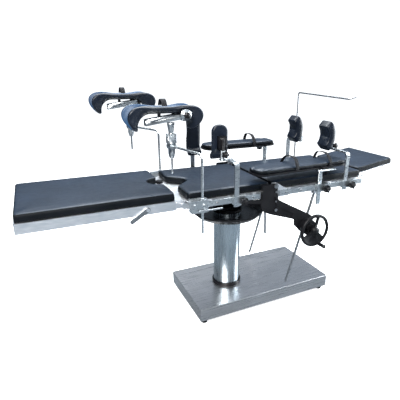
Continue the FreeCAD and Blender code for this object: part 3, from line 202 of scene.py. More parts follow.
deepBlack = (0.002, 0.002, 0.003), (0.005, 0.005, 0.006)
alongTable, upright = (0.02, 1.0, 1.0), (1.0, 1.0, 0.02)    # which way the brushing runs
finishes = {
    # Pad top and side vinyl are one material: the top's lighter blue is a painted sheen of the sky, the
    # near-black sides are painted shade
    "padTopPaintedSheen": vinylFinish("pad_top_vinyl_painted_sheen", (0.004, 0.009, 0.018), (0.008, 0.015, 0.028), 0.42, 0.34),
    "padSidePaintedShade": vinylFinish("pad_side_vinyl_painted_shade", (0.001, 0.002, 0.003), (0.003, 0.004, 0.006), 0.50, 0.10),
    "darkPad": vinylFinish("support_pad_vinyl", (0.003, 0.005, 0.009), (0.006, 0.009, 0.017), 0.32, 0.25),
    # The crutch saddle's inner, upward face is painted a lighter blue than its dark outside, a painted sheen
    # of the sky
    "liningPaintedSheen": vinylFinish("crutch_inner_painted_sheen", (0.008, 0.024, 0.056), (0.016, 0.046, 0.098), 0.40, 0.22),
    "welt": vinylFinish("welt_vinyl", (0.002, 0.003, 0.004), (0.005, 0.006, 0.008), 0.40, 0.15, 0.0012),
    "stainless": metalFinish("brushed_stainless", (0.47, 0.46, 0.46), (0.64, 0.63, 0.64),
                             0.30, 0.004, alongTable),
    "columnSteel": metalFinish("column_stainless", (0.32, 0.37, 0.40), (0.48, 0.54, 0.58),
                               0.26, 0.004, upright),
    "bright": metalFinish("bright_steel", (0.48, 0.51, 0.53), (0.60, 0.63, 0.65),
                          0.30, 0.006, (0.2, 1.0, 1.0), 0.008),
    "rodSteel": metalFinish("rod_steel", (0.24, 0.25, 0.26), (0.38, 0.39, 0.41),
                            0.32, 0.006, (1.0, 1.0, 0.2), 0.01),
    "frameSteel": metalFinish("frame_steel", (0.74, 0.76, 0.79), (0.88, 0.89, 0.91),
                              0.38, 0.008, (0.2, 1.0, 1.0), 0.006),
    "casting": paintFinish("black_casting", *deepBlack, 0.46, 0.0016, 0.25, 0.18),
    "dish": paintFinish("dish_black", *deepBlack, 0.30, 0.004, 0.08, 0.25),
    "plastic": paintFinish("moulded_black", *deepBlack, 0.36, 0.0010, 0.12, 0.25),
    "rubber": paintFinish("foot_rubber", (0.006, 0.006, 0.007), (0.012, 0.012, 0.013),
                          0.62, 0.0014, 0.3, 0.2),
    "chassis": paintFinish("chassis_paint", (0.16, 0.17, 0.18), (0.22, 0.23, 0.24),
                           0.5, 0.002, 0.2, 0.4),
    "webbing": webbingFinish("strap_webbing", (0.002, 0.002, 0.003), (0.006, 0.006, 0.008)),
}
report("finishes made")

# CAD nodes that keep their own shape, with their finish
kept = {
    "base_cover": "stainless",
    "base_chassis": "chassis",
    "base_feet": "rubber",
    "column_core": "columnSteel",
    "collar_ring": "plastic",
    "column_sleeve": "columnSteel",
    "bowl_cover": "dish",
    "column_head": "casting",
    "lift_ram": "rodSteel",
    "tilt_cradle": "casting",
    "seat_frame": "frameSteel",
    "seat_rails": "bright",
    "gear_arm": "casting",
    "hinge_cheek": "casting",
    "hinge_bolts": "rodSteel",
    "seat_clamps": "bright",
    "seat_knobs": "plastic",
    "notch_knob": "plastic",
    "crank_grip": "plastic",
    "tilt_lever": "rodSteel",
    "back_frame": "frameSteel",
    "back_rails": "bright",
    "back_clamps": "bright",
    "back_knobs": "plastic",
    "stay_rods": "rodSteel",
    "head_frame": "frameSteel",
    "head_lever": "rodSteel",
    "leg_frame": "frameSteel",
    "leg_lever": "rodSteel",
    "screen_rod": "rodSteel",
}
for sideName in ("left", "right"):
    kept["holder_sleeve_" + sideName] = "bright"
    kept["leg_post_" + sideName] = "bright"
    kept["arm_board_" + sideName] = "plastic"
for nodeName, finish in kept.items():
    node = nodes[nodeName]
    node.data.materials.clear()
    node.data.materials.append(finishes[finish])
    for slotOf in node.material_slots:
        slotOf.material = finishes[finish]
report("CAD nodes dressed")


def addObject(name, data):
    piece = bpy.data.objects.new(name, data)
    bpy.context.scene.collection.objects.link(piece)
    return piece


def weldedMesh(nodeName):
    source = nodes[nodeName]
    shape = bmesh.new()
    shape.from_mesh(source.data)
    bmesh.ops.transform(shape, matrix=source.matrix_world, verts=shape.verts)
    bmesh.ops.remove_doubles(shape, verts=shape.verts, dist=0.00001)
    shape.verts.index_update()
    return shape


def islandsOf(shape):
    seen = set()
    groups = []
    for vert in shape.verts:
        if vert.index in seen:
            continue
        stack, group = [vert], []
        seen.add(vert.index)
        while stack:
            here = stack.pop()
            group.append(here)
            for edge in here.link_edges:
                other = edge.other_vert(here)
                if other.index not in seen:
                    seen.add(other.index)
                    stack.append(other)
        groups.append(group)
    return groups


def extentOf(points):
    xs, ys, zs = zip(*[(p.x, p.y, p.z) for p in points])
    return Vector((min(xs), min(ys), min(zs))), Vector((max(xs), max(ys), max(zs)))


def biggestFirst(shape):
    def reach(group):
        low, high = extentOf([vert.co for vert in group])
        return (high - low).length

    return sorted(islandsOf(shape), key=reach, reverse=True)


def settle(piece, body, nodeName):
    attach(piece, body)
    if nodeName:
        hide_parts(nodeName)


def roundLook(piece, angle=32):
    for face in piece.data.polygons:
        face.use_smooth = True
    piece.data.set_sharp_from_angle(angle=math.radians(angle))


def madeFrom(name, shape):
    mesh = bpy.data.meshes.new(name)
    shape.to_mesh(mesh)
    shape.free()
    return addObject(name, mesh)


# A copy of a CAD node with its own finishes, without its biggest solids if any are skipped
def dressedCopy(name, nodeName, finishNames, choose, skipped=0):
    shape = weldedMesh(nodeName)
    dropped = [vert for group in biggestFirst(shape)[:skipped] for vert in group]
    bmesh.ops.delete(shape, geom=dropped, context="VERTS")
    piece = madeFrom(name, shape)
    paintByFace(piece, finishNames, choose)
    roundLook(piece)
    return piece


# Ribbons and tubes: a section carried along a line of points
def ribbon(name, path, across, width, thick, finishName):
    shape = bmesh.new()
    half, deep = width / 2, thick / 2
    section = [(-half, -deep * 0.4), (-half, deep * 0.4), (-half + deep, deep), (half - deep, deep),
               (half, deep * 0.4), (half, -deep * 0.4), (half - deep, -deep), (-half + deep, -deep)]
    rings = []
    for i, spot in enumerate(path):
        along = (path[min(i + 1, len(path) - 1)] - path[max(i - 1, 0)]).normalized()
        out = across.cross(along).normalized()
        rings.append([shape.verts.new(spot + across * a + out * b) for a, b in section])
    joinRings(shape, rings)
    piece = madeFrom(name, shape)
    piece.data.materials.append(finishes[finishName])
    roundLook(piece, 50)
    return piece


def joinRings(shape, rings, closed=False):
    count = len(rings[0])
    pairs = list(zip(rings, rings[1:])) + ([(rings[-1], rings[0])] if closed else [])
    for first, second in pairs:
        for k in range(count):
            shape.faces.new((first[k], first[(k + 1) % count], second[(k + 1) % count], second[k]))
    if not closed:
        shape.faces.new(list(reversed(rings[0])))
        shape.faces.new(rings[-1])
    bmesh.ops.recalc_face_normals(shape, faces=shape.faces)


def tubeLoop(name, path, up, radius, finishName, sides=8):
    shape = bmesh.new()
    rings = []
    for i, spot in enumerate(path):
        along = (path[(i + 1) % len(path)] - path[i - 1]).normalized()
        out = up.cross(along).normalized()
        over = along.cross(out)
        ring = []
        for k in range(sides):
            angle = math.tau * k / sides
            spoke = out * radius * math.cos(angle) + over * radius * math.sin(angle)
            ring.append(shape.verts.new(spot + spoke))
        rings.append(ring)
    joinRings(shape, rings, closed=True)
    piece = madeFrom(name, shape)
    piece.data.materials.append(finishes[finishName])
    roundLook(piece, 60)
    return piece


def smoothPath(points, rounds=3):
    for _ in range(rounds):
        finer = [points[0]]
        for first, second in zip(points, points[1:]):
            finer.append(first.lerp(second, 0.25))
            finer.append(first.lerp(second, 0.75))
        finer.append(points[-1])
        points = finer
    return points


straightUp = Vector((0, 0, 1))
padCloth = {
    "shrink": 0.0012,     # taken off the CAD cushion before it swells, metres
    "pinned": 0.6,        # part of a mesh cell above the resting side that stays put
    "quality": 5,
    "mass": 0.3,
    "stretch": 22,        # stiffness of the vinyl
    "shear": 8,
    "bend": 2.0,
    "frames": 20,
}


# Pads: each starts as its CAD cushion, is blown up a little as cloth, and is capped
def clothPad(name, nodeName, body, sewing, up, restSide):
    voxel, cap = sewing["voxel"], sewing["cap"]
    shape = weldedMesh(nodeName)
    dropped = [vert for group in biggestFirst(shape)[1:] for vert in group]
    bmesh.ops.delete(shape, geom=dropped, context="VERTS")
    piece = madeFrom(name, shape)
    shrink = piece.modifiers.new("shrink", "DISPLACE")
    shrink.strength = -padCloth["shrink"]
    shrink.mid_level = 0.0
    remesh = piece.modifiers.new("remesh", "REMESH")
    remesh.mode = "VOXEL"
    remesh.voxel_size = voxel
    bakeModifiers(piece)
    start = [v.co.copy() for v in piece.data.vertices]
    group = piece.vertex_groups.new(name="rest")
    low = min(v.dot(up) for v in start)
    for i, point in enumerate(start):
        if restSide and point.dot(up) < low + voxel * padCloth["pinned"]:
            group.add([i], 1.0, "REPLACE")
    cloth = piece.modifiers.new("cloth", "CLOTH")
    settings = cloth.settings
    settings.quality = padCloth["quality"]
    settings.mass = padCloth["mass"]
    settings.tension_stiffness = padCloth["stretch"]
    settings.compression_stiffness = padCloth["stretch"]
    settings.shear_stiffness = padCloth["shear"]
    settings.bending_stiffness = padCloth["bend"]
    settings.use_pressure = True
    settings.uniform_pressure_force = sewing["pressure"]
    settings.effector_weights.gravity = 0.0
    settings.vertex_group_mass = "rest"
    cloth.point_cache.frame_start = 1
    cloth.point_cache.frame_end = padCloth["frames"]
    for step in range(1, padCloth["frames"] + 1):
        bpy.context.scene.frame_set(step)
    bakeModifiers(piece)
    bpy.context.scene.frame_set(1)
    for i, vert in enumerate(piece.data.vertices):
        moved = vert.co - start[i]
        if moved.length > cap:
            vert.co = start[i] + moved.normalized() * cap
    smooth = piece.modifiers.new("smooth", "SMOOTH")
    smooth.factor = 0.5
    smooth.iterations = 2
    more = piece.modifiers.new("more", "SUBSURF")
    more.levels = 1
    more.render_levels = 1
    bakeModifiers(piece)
    piece.vertex_groups.clear()
    for face in piece.data.polygons:
        face.use_smooth = True
    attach(piece, body)
    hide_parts(nodeName)
    return piece


def bakeModifiers(piece):
    graph = bpy.context.evaluated_depsgraph_get()
    done = bpy.data.meshes.new_from_object(piece.evaluated_get(graph), depsgraph=graph)
    piece.modifiers.clear()
    piece.data = done


def paintByFace(piece, finishNames, choose):
    piece.data.materials.clear()
    for name in finishNames:
        piece.data.materials.append(finishes[name])
    for face in piece.data.polygons:
        face.material_index = choose(onGrid(face.center), face.normal)


# Welt: a thin piping sewn round a pad's upper edge, laid on the finished cover
welt = {
    "radius": 0.0016,     # piping radius, metres
    "drop": 0.0036,       # below the flat top
    "spread": 0.0036,     # outward from the flat top
    "step": 0.008,        # between points
    "raised": 0.3,        # part of the radius that the piping's middle stands off the cover
    "level": 0.0008,      # how far below the top an edge still counts as the top's
    "flat": 0.99,         # how level a face has to be for it
}


def topLoop(nodeName, up):
    shape = weldedMesh(nodeName)
    level = max(vert.co.dot(up) for vert in shape.verts) - welt["level"]
    edges = [edge for edge in shape.edges if len(edge.link_faces) == 2
             and sum(abs(face.normal.dot(up)) > welt["flat"] for face in edge.link_faces) == 1
             and min(vert.co.dot(up) for vert in edge.verts) > level]
    around = {}
    for edge in edges:
        first, second = edge.verts
        around.setdefault(first, []).append(second)
        around.setdefault(second, []).append(first)
    start = next(iter(around))
    chain, before, here = [start], None, start
    while True:
        ahead = [vert for vert in around[here] if vert is not before]
        if not ahead or ahead[0] is start:
            break
        before, here = here, ahead[0]
        chain.append(here)
    points = [vert.co.copy() for vert in chain]
    shape.free()
    middle = sum(points, Vector()) / len(points)
    spaced = spacedLoop(points, welt["step"])
    turned = sum((spaced[i - 1] - middle).cross(spaced[i] - middle).dot(up) for i in range(len(spaced)))
    facing = 1.0 if turned > 0 else -1.0
    moved = []
    for i, spot in enumerate(spaced):
        along = (spaced[(i + 1) % len(spaced)] - spaced[i - 1]).normalized()
        moved.append(spot + along.cross(up) * welt["spread"] * facing - up * welt["drop"])
    return moved


def spacedLoop(points, step):
    spaced = []
    spare = 0.0
    for first, second in zip(points, points[1:] + points[:1]):
        length = (second - first).length
        travel = spare
        while travel < length:
            spaced.append(first.lerp(second, travel / length))
            travel += step
        spare = travel - length
    return spaced


def weltOn(pad, nodeName, body, up):
    laid = []
    for spot in topLoop(nodeName, up):
        _, place, normal, _ = pad.closest_point_on_mesh(spot)
        laid.append(place + normal * welt["radius"] * welt["raised"])
    for _ in range(2):
        laid = [(laid[i - 1] + laid[i] * 2 + laid[(i + 1) % len(laid)]) / 4 for i in range(len(laid))]
    piece = tubeLoop(nodeName + "_welt", laid, up, welt["radius"], "welt", 6)
    settle(piece, body, None)


# Upward faces get the top vinyl with its painted sheen, all other faces the side vinyl with its painted shade
def sheenTopOrShadeSide(up):
    return lambda spot, normal: 0 if normal.dot(up) > tablePads["facing"] else 1


tablePads = {
    "cap": 0.0018,        # how far the vinyl may swell, metres
    "pressure": 4.0,      # cloth pressure
    "voxel": 0.007,       # mesh cell, metres
    "fill": 0.8,
    "facing": 0.7,        # how level a face has to be for the top's vinyl, painted lighter and bluer as a painted sheen
    "headTilt": 7.2,      # degrees that the head pad leans back
}
headTilt = math.radians(tablePads["headTilt"])
headUp = Vector((-math.sin(headTilt), 0, math.cos(headTilt)))
for nodeName, body, up in (
    ("seat_pad", "seat", straightUp),
    ("back_pad", "back", straightUp),
    ("leg_pad", "leg", straightUp),
    ("head_pad", "head", headUp),
):
    pad = clothPad(nodeName + "_cover", nodeName, body, tablePads, up, True)
    paintByFace(pad, ("padTopPaintedSheen", "padSidePaintedShade"), sheenTopOrShadeSide(up))
    weltOn(pad, nodeName, body, up)
armPads = {"cap": 0.003, "pressure": 4.0, "voxel": 0.005, "fill": 0.7}
for sideName in ("left", "right"):
    pad = clothPad("arm_cushion_cover_" + sideName, "arm_cushion_" + sideName, "board_" + sideName,
                   armPads, straightUp, True)
    paintByFace(pad, ("padTopPaintedSheen", "padSidePaintedShade"), sheenTopOrShadeSide(straightUp))
report("table pads sewn")

# Body and shoulder supports: a swollen pad, the body's on its plastic plate
bodyPads = {"cap": 0.005, "pressure": 4.0, "voxel": 0.005, "fill": 0.8}
shoulderPads = {"cap": 0.006, "pressure": 4.0, "voxel": 0.005, "fill": 0.8}


def wholePiece(spot, normal):
    return 0


for sideName in ("left", "right"):
    for padName, nodeName, body, sewing, plated in (
        ("body_pad_cover_", "lateral_pad_", "side_pad_", bodyPads, True),
        ("shoulder_pad_cover_", "shoulder_pad_", "neck_pad_", shoulderPads, False),
    ):
        pad = clothPad(padName + sideName, nodeName + sideName, body + sideName, sewing, straightUp, False)
        paintByFace(pad, ("darkPad",), wholePiece)
        if plated:
            plate = dressedCopy(nodeName + "plate_" + sideName, nodeName + sideName, ("plastic",),
                                wholePiece, 1)
            settle(plate, body + sideName, nodeName + sideName)
report("support pads sewn")


# Knee crutch: a padded shell like a saddle, curling down at both ends into round lobes
saddle = {
    "flat": 0.062,        # half the level stretch, metres along the leg
    "curl": 0.082,        # radius that the ends curl down on
    "reach": 0.205,       # half length along the curve
    "waist": 0.046,       # half width along the curve across the leg
    "lobe": 0.092,        # the same at the widest place of a lobe
    "hollow": 0.060,      # radius across the leg
    "thick": 0.020,       # padding
    "seat": 0.038,        # from the CAD shell's highest edge down to its seat's underside
    "lower": 0.004,       # below the CAD shell's seat
    "lobeAt": 0.70,       # where a lobe is widest, as a share of the reach
    "lobeSpan": 0.27,     # how long it is
    "roundFrom": 0.68,    # where its round end begins
    "blunt": 0.94,        # 1 would bring the end to a point
    "steps": (36, 14),    # mesh cells along and across
}


def saddleSpot(middle, along, across):
    flat, curl = saddle["flat"], saddle["curl"]
    way = 1.0 if along >= 0 else -1.0
    past = max(abs(along) - flat, 0.0) / curl
    base = Vector((way * (min(abs(along), flat) + curl * math.sin(past)), 0, -curl * (1 - math.cos(past))))
    up = Vector((way * math.sin(past), 0, math.cos(past)))
    turn = across / saddle["hollow"]
    sideways = Vector((0, saddle["hollow"] * math.sin(turn), 0))
    return middle + base + sideways + up * saddle["hollow"] * (1 - math.cos(turn))


def saddleWidth(share):
    bulge = math.exp(-((abs(share) - saddle["lobeAt"]) / saddle["lobeSpan"]) ** 2)
    width = saddle["waist"] + (saddle["lobe"] - saddle["waist"]) * bulge
    past = max(abs(share) - saddle["roundFrom"], 0) / (1 - saddle["roundFrom"])
    return width * (1 - past ** 2 * saddle["blunt"]) ** 0.5


def saddleShell(name, middle):
    alongSteps, acrossSteps = saddle["steps"]
    shape = bmesh.new()
    rows = []
    for i in range(alongSteps + 1):
        share = 2 * i / alongSteps - 1
        half = saddleWidth(share)
        along = share * saddle["reach"]
        rows.append([shape.verts.new(saddleSpot(middle, along, half * (2 * j / acrossSteps - 1)))
                     for j in range(acrossSteps + 1)])
    for first, second in zip(rows, rows[1:]):
        for j in range(acrossSteps):
            shape.faces.new((first[j], second[j], second[j + 1], first[j + 1]))
    piece = madeFrom(name, shape)
    # Inner, upward faces get the lighter blue with its painted sky sheen; the solidified outside and rims get
    # the dark pad vinyl
    for finishName in ("liningPaintedSheen", "darkPad"):
        piece.data.materials.append(finishes[finishName])
    solid = piece.modifiers.new("solid", "SOLIDIFY")
    solid.thickness = saddle["thick"]
    solid.offset = -1.0
    solid.material_offset = 1
    solid.material_offset_rim = 1
    smooth = piece.modifiers.new("smooth", "SUBSURF")
    smooth.levels = 2
    smooth.render_levels = 2
    bakeModifiers(piece)
    for face in piece.data.polygons:
        face.use_smooth = True
    return piece


for sideName in ("left", "right"):
    nodeName, body = "crutch_shell_" + sideName, "crutch_" + sideName
    shape = weldedMesh(nodeName)
    shellLow, shellHigh = extentOf([vert.co for vert in biggestFirst(shape)[0]])
    shape.free()
    seatLevel = shellHigh.z - saddle["seat"] + saddle["thick"] - saddle["lower"]
    middle = Vector(((shellLow.x + shellHigh.x) / 2, (shellLow.y + shellHigh.y) / 2, seatLevel))
    pad = saddleShell("crutch_cover_" + sideName, middle)
    settle(pad, body, nodeName)
report("crutch pads made")

# Straps: webbing ribbons that follow the CAD loops
straps = {
    "thick": 0.0022,      # webbing, metres
    "armWidth": 0.022,
    "kneeWidth": 0.026,
    "lean": 0.006,        # how far an arm loop's crest leans to one side
    "cushion": 0.34,      # the cushion's top, as a share of the CAD loop's height
    "bend": 0.62,         # where an arm loop bends over, as a share of its half width
    "crest": 0.004,       # how far its middle stands above the bends
    "kneeFoot": 0.86,     # the same for a knee loop: where it leaves the shell and bends over
    "kneeBend": 0.34,
    "kneeRise": 0.012,    # above the loop's foot at that first bend
}


def averageOf(spots):
    return sum(spots, Vector()) / len(spots)


def strapLoop(name, nodeName, body, corners, across, width):
    piece = ribbon(name, smoothPath(corners), across, width, straps["thick"], "webbing")
    settle(piece, body, nodeName)


for sideName in ("left", "right"):
    nodeName, body = "arm_straps_" + sideName, "board_" + sideName
    shape = weldedMesh(nodeName)
    for number, group in enumerate(islandsOf(shape)):
        spots = [vert.co for vert in group]
        low, high = extentOf(spots)
        feet = [spot for spot in spots if spot.z < low.z + 0.002]
        middle = (low + high) / 2
        nearEnd = averageOf([spot for spot in feet if spot.y < middle.y])
        farEnd = averageOf([spot for spot in feet if spot.y > middle.y])
        span = farEnd - nearEnd
        lean = span.normalized() * straps["lean"] * (1 if number else -1)
        crest = (nearEnd + farEnd) / 2
        crest.z = high.z - straps["thick"]
        cushionTop = low.z + (high.z - low.z) * straps["cushion"]
        corners = [nearEnd, Vector((nearEnd.x, nearEnd.y, cushionTop)),
                   crest - span / 2 * straps["bend"] + lean, crest + straightUp * straps["crest"] + lean,
                   crest + span / 2 * straps["bend"] + lean, Vector((farEnd.x, farEnd.y, cushionTop)), farEnd]
        strapLoop("arm_strap_%s_%d" % (sideName, number), nodeName, body, corners,
                  straightUp.cross(span).normalized(), straps["armWidth"])
    shape.free()
    nodeName, body = "crutch_shell_" + sideName, "crutch_" + sideName
    shape = weldedMesh(nodeName)
    low, high = extentOf([vert.co for vert in biggestFirst(shape)[1]])
    shape.free()
    middle = (low + high) / 2
    halfWide = (high.y - low.y) / 2 - 0.002
    foot, bend, rise = straps["kneeFoot"], straps["kneeBend"], straps["kneeRise"]
    corners = [Vector((middle.x, middle.y + halfWide * share, level)) for share, level in (
        (-1, low.z), (-foot, low.z + rise), (-bend, high.z - 0.002),
        (bend, high.z - 0.001), (foot, low.z + rise), (1, low.z))]
    strapLoop("crutch_strap_" + sideName, nodeName, body, corners,
              Vector((1, 0, 0)), straps["kneeWidth"])
report("straps made")

# Metal supports with black knobs on them: the finish changes where the knob begins
supports = {                          # all on the table's grid, millimetres
    "bodyKnob": (220.5, 245.0, 912.0),    # across the table from and to, and above
    "shoulderKnob": (160.5, 186.0, 896.0),
    "kneeKnob": {"left": (122.5, math.inf, 0.0), "right": (594.5, math.inf, 0.0)},
    "armKnob": ((480.0, 804.0), (378.0, 842.0)),   # along the table and top of the knob
    "armKnobSize": (17.6, 15.5, 240.0),   # radius, height and how far out it starts
}


def knobAt(side, region):
    start, end, above = region
    return lambda spot, normal: 1 if start < spot.y * side < end and spot.z > above else 0


for sideName, side in (("left", -1), ("right", 1)):
    for pieceName, nodeName, body, region in (
        ("body_bracket_", "lateral_bar_", "lateral_", supports["bodyKnob"]),
        ("shoulder_bracket_", "shoulder_bar_", "shoulder_", supports["shoulderKnob"]),
        ("knee_bracket_", "crutch_mount_", "crutch_", supports["kneeKnob"][sideName]),
    ):
        piece = dressedCopy(pieceName + sideName, nodeName + sideName, ("bright", "plastic"),
                            knobAt(side, region))
        settle(piece, body + sideName, nodeName + sideName)


def armKnob(spot, normal):
    radius, height, outward = supports["armKnobSize"]
    for along, top in supports["armKnob"]:
        if abs(spot.x - along) < radius and top - height < spot.z < top - 0.1 and abs(spot.y) > outward:
            return 1
    return 0


armPosts = dressedCopy("arm_post_set", "arm_posts", ("bright", "plastic"), armKnob)
settle(armPosts, "back", "arm_posts")
report("supports finished")

# Handwheel: the CAD wheel with a fuller rim, as in the photo
wheelRim = {
    "tube": 0.007,        # rim tube radius in the CAD wheel, metres
    "across": -355.0,     # the rim's plane on the table's grid, millimetres
    "fuller": 1.32,       # how much thicker the rim is made
    "inward": 0.002,      # so that the outside keeps its size
    "slack": 1.1,         # how far from its middle a vertex still counts as the rim's
}
wheelPiece = dressedCopy("handwheel_casting", "handwheel", ("casting",), wholePiece)
wheelLow, wheelHigh = (Vector(corner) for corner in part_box("handwheel"))
wheelCentre = (wheelLow + wheelHigh) / 2
wheelReach = (wheelHigh.x - wheelLow.x) / 2
rimReach = wheelReach - wheelRim["tube"]
rimPlane = at(0, wheelRim["across"], 0).y
rimSlack = wheelRim["tube"] * wheelRim["slack"]
for vert in wheelPiece.data.vertices:
    outward = Vector((vert.co.x - wheelCentre.x, 0, vert.co.z - wheelCentre.z))
    if outward.length > rimReach - rimSlack and abs(vert.co.y - rimPlane) < rimSlack:
        outward.normalize()
        core = Vector((wheelCentre.x, rimPlane, wheelCentre.z)) + outward * rimReach
        vert.co = core - outward * wheelRim["inward"] + (vert.co - core) * wheelRim["fuller"]
settle(wheelPiece, "wheel", "handwheel")
report("handwheel finished")

# Small screws on the side rails
railScrews = {
    "radius": 0.0055,     # metres
    "height": 0.0022,
    "socket": 0.0026,
    "crown": 0.8,         # where the head rounds over, as a share of its radius and height
    "sunk": 0.0006,       # into the rail
    "ledge": 0.0004,      # level of the socket's floor and of the end of the straight side
    "sides": 16,
    "counts": {"seat": 4, "back": 6},
    "first": 0.4,         # from a rail's end, as a share of the spacing
}


def buttonScrew(shape, centre, out):
    turn = out.to_track_quat("Z", "Y").to_matrix()
    radius, height, socket = (railScrews[key] for key in ("radius", "height", "socket"))
    crown, sunk, ledge = (railScrews[key] for key in ("crown", "sunk", "ledge"))
    rings = []
    for reach, level in ((radius, -sunk), (radius, ledge), (radius * crown, height * crown),
                         (socket * 1.25, height), (socket, height * 0.9), (socket, ledge)):
        ring = []
        for k in range(railScrews["sides"]):
            angle = math.tau * k / railScrews["sides"]
            spot = Vector((reach * math.cos(angle), reach * math.sin(angle), level))
            ring.append(shape.verts.new(centre + turn @ spot))
        rings.append(ring)
    joinRings(shape, rings)


for body, count in railScrews["counts"].items():
    nodeName, first = body + "_rails", railScrews["first"]
    low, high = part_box(nodeName)
    shape = bmesh.new()
    for outward, y in ((Vector((0, -1, 0)), low[1]), (Vector((0, 1, 0)), high[1])):
        for k in range(count):
            x = low[0] + (high[0] - low[0]) * (k + first) / (count - 1 + 2 * first)
            buttonScrew(shape, Vector((x, y, (low[2] + high[2]) / 2)), outward)
    screws = madeFrom(nodeName + "_screws", shape)
    screws.data.materials.append(finishes["rodSteel"])
    roundLook(screws, 40)
    settle(screws, body, None)
report("screws made")


# Studio
def areaLight(name, spot, target, size, power, colour):
    data = bpy.data.lights.new(name, "AREA")
    data.shape = "RECTANGLE"
    data.size, data.size_y = size
    data.energy = power
    data.color = colour
    light = addObject(name, data)
    light.location = spot
    light.rotation_euler = (target - spot).to_track_quat("-Z", "Y").to_euler()


studio = {
    "floor": (0.93, 0.93, 0.93),      # floor colour in plain view
    "floorGlow": 0.75,                # how much of the floor's white is its own
    "floorSheen": (0.16, 0.18, 0.20), # floor colour where metal mirrors it
    "floorHalf": 30,                  # metres
    "backdrop": 1.1,                  # brightness of the white behind the table
    "air": ((0.0, (0.10, 0.115, 0.135)), (0.18, (0.13, 0.165, 0.205)),
            (0.45, (0.34, 0.41, 0.50)), (1.0, (0.85, 0.90, 0.95))),
    "sideways": ((0.0, (0.40, 0.40, 0.40)), (0.5, (0.85, 0.85, 0.85)), (1.0, (1.3, 1.3, 1.3))),
    "aim": (-100, 0, 600),            # where the lamps point, millimetres on the table's grid
    "lamps": {                        # place, size in metres, watts and colour
        "key_light": ((-1900, -2300, 2900), (2.2, 1.6), 300.0, (1.0, 0.99, 0.97)),
        "fill_light": ((2600, -900, 1500), (1.2, 2.4), 150.0, (0.90, 0.96, 1.0)),
        "top_light": ((200, 900, 3100), (3.0, 1.6), 190.0, (0.92, 0.97, 1.0)),
    },
}
floorShape = bmesh.new()
bmesh.ops.create_grid(floorShape, x_segments=1, y_segments=1, size=studio["floorHalf"])
floor = madeFrom("floor", floorShape)
floorMaterial, floorTree, floorShader, _ = startMaterial("floor_paint")
floorShader.inputs["Roughness"].default_value = 0.9
floorShader.inputs["Specular IOR Level"].default_value = 0.0
floorPath = floorTree.nodes.new("ShaderNodeLightPath")
floorTone = floorTree.nodes.new("ShaderNodeMixRGB")
floorTone.inputs["Color1"].default_value = (*studio["floor"], 1.0)
floorTone.inputs["Color2"].default_value = (*studio["floorSheen"], 1.0)
floorTree.links.new(floorPath.outputs["Is Glossy Ray"], floorTone.inputs["Fac"])
floorTree.links.new(floorTone.outputs["Color"], floorShader.inputs["Base Color"])
floorGlow = floorTree.nodes.new("ShaderNodeMath")
floorGlow.operation = "MULTIPLY"
floorGlow.inputs[1].default_value = studio["floorGlow"]
floorTree.links.new(floorPath.outputs["Is Camera Ray"], floorGlow.inputs[0])
floorTree.links.new(floorGlow.outputs["Value"], floorShader.inputs["Emission Strength"])
floorShader.inputs["Emission Color"].default_value = (1.0, 1.0, 1.0, 1.0)
floor.data.materials.append(floorMaterial)


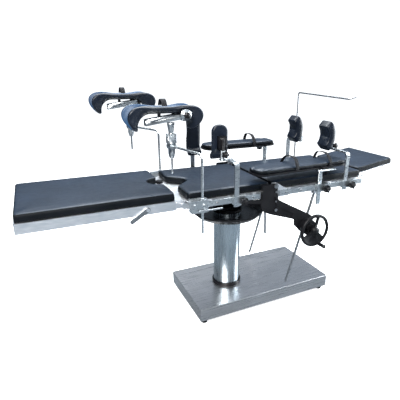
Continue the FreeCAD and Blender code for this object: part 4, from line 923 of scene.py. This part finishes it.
def studioAir(name, stops):
    world = bpy.data.worlds.new(name)
    bpy.context.scene.world = world
    world.use_nodes = True
    tree = world.node_tree
    plain = tree.nodes["Background"]
    plain.inputs["Color"].default_value = (1.0, 1.0, 1.0, 1.0)
    plain.inputs["Strength"].default_value = studio["backdrop"]
    place = tree.nodes.new("ShaderNodeTexCoord")
    parts = tree.nodes.new("ShaderNodeSeparateXYZ")
    tree.links.new(place.outputs["Generated"], parts.inputs["Vector"])
    shade = rampOf(tree, parts.outputs["Z"], stops)
    soft = tree.nodes.new("ShaderNodeBackground")
    lean = tree.nodes.new("ShaderNodeMixRGB")
    lean.blend_type = "MULTIPLY"
    lean.inputs["Fac"].default_value = 1.0
    across = tree.nodes.new("ShaderNodeMapRange")
    across.inputs["From Min"].default_value = -1.0
    tree.links.new(parts.outputs["X"], across.inputs["Value"])
    tree.links.new(shade, lean.inputs["Color1"])
    tree.links.new(rampOf(tree, across.outputs["Result"], studio["sideways"]), lean.inputs["Color2"])
    tree.links.new(lean.outputs["Color"], soft.inputs["Color"])
    path = tree.nodes.new("ShaderNodeLightPath")
    mix = tree.nodes.new("ShaderNodeMixShader")
    tree.links.new(path.outputs["Is Camera Ray"], mix.inputs["Fac"])
    tree.links.new(soft.outputs["Background"], mix.inputs[1])
    tree.links.new(plain.outputs["Background"], mix.inputs[2])
    tree.links.new(mix.outputs["Shader"], tree.nodes["World Output"].inputs["Surface"])


studioAir("studio_air", studio["air"])
bpy.context.scene.view_settings.view_transform = "Standard"
for lampName, (place, size, power, colour) in studio["lamps"].items():
    areaLight(lampName, at(*place), at(*studio["aim"]), size, power, colour)

view = {
    "place": (-925.24, -1810.56, 1316.64),   # millimetres on the table's grid
    "yaw": 27.17,
    "pitch": 19.23,
    "roll": 0.86,
    "focal": 377.31,                         # pixels
    "centre": (228.0, 201.35),               # where the camera's axis meets the frame, pixels
    "pixels": 400.0,                         # the frame's width and height
    "sensor": 36.0,                          # millimetres
}
yaw, pitch, roll = (math.radians(view[key]) for key in ("yaw", "pitch", "roll"))
ahead = Vector((math.sin(yaw) * math.cos(pitch), math.cos(yaw) * math.cos(pitch), -math.sin(pitch)))
right = Vector((math.cos(yaw), -math.sin(yaw), 0))
above = right.cross(ahead)
rightTurned = right * math.cos(roll) + above * math.sin(roll)
aboveTurned = above * math.cos(roll) - right * math.sin(roll)
cameraData = bpy.data.cameras.new("photo_camera")
camera = addObject("photo_camera", cameraData)
turn = Matrix((rightTurned, aboveTurned, -ahead)).transposed().to_4x4()
camera.matrix_world = Matrix.Translation(at(*view["place"])) @ turn
cameraData.sensor_width = view["sensor"]
cameraData.sensor_fit = "HORIZONTAL"
cameraData.lens = view["focal"] * view["sensor"] / view["pixels"]
cameraData.shift_x = 0.5 - view["centre"][0] / view["pixels"]
cameraData.shift_y = view["centre"][1] / view["pixels"] - 0.5
cameraData.clip_start = 0.05
cameraData.clip_end = 100.0
cameraData.dof.use_dof = False
bpy.context.scene.camera = camera
report("studio set")
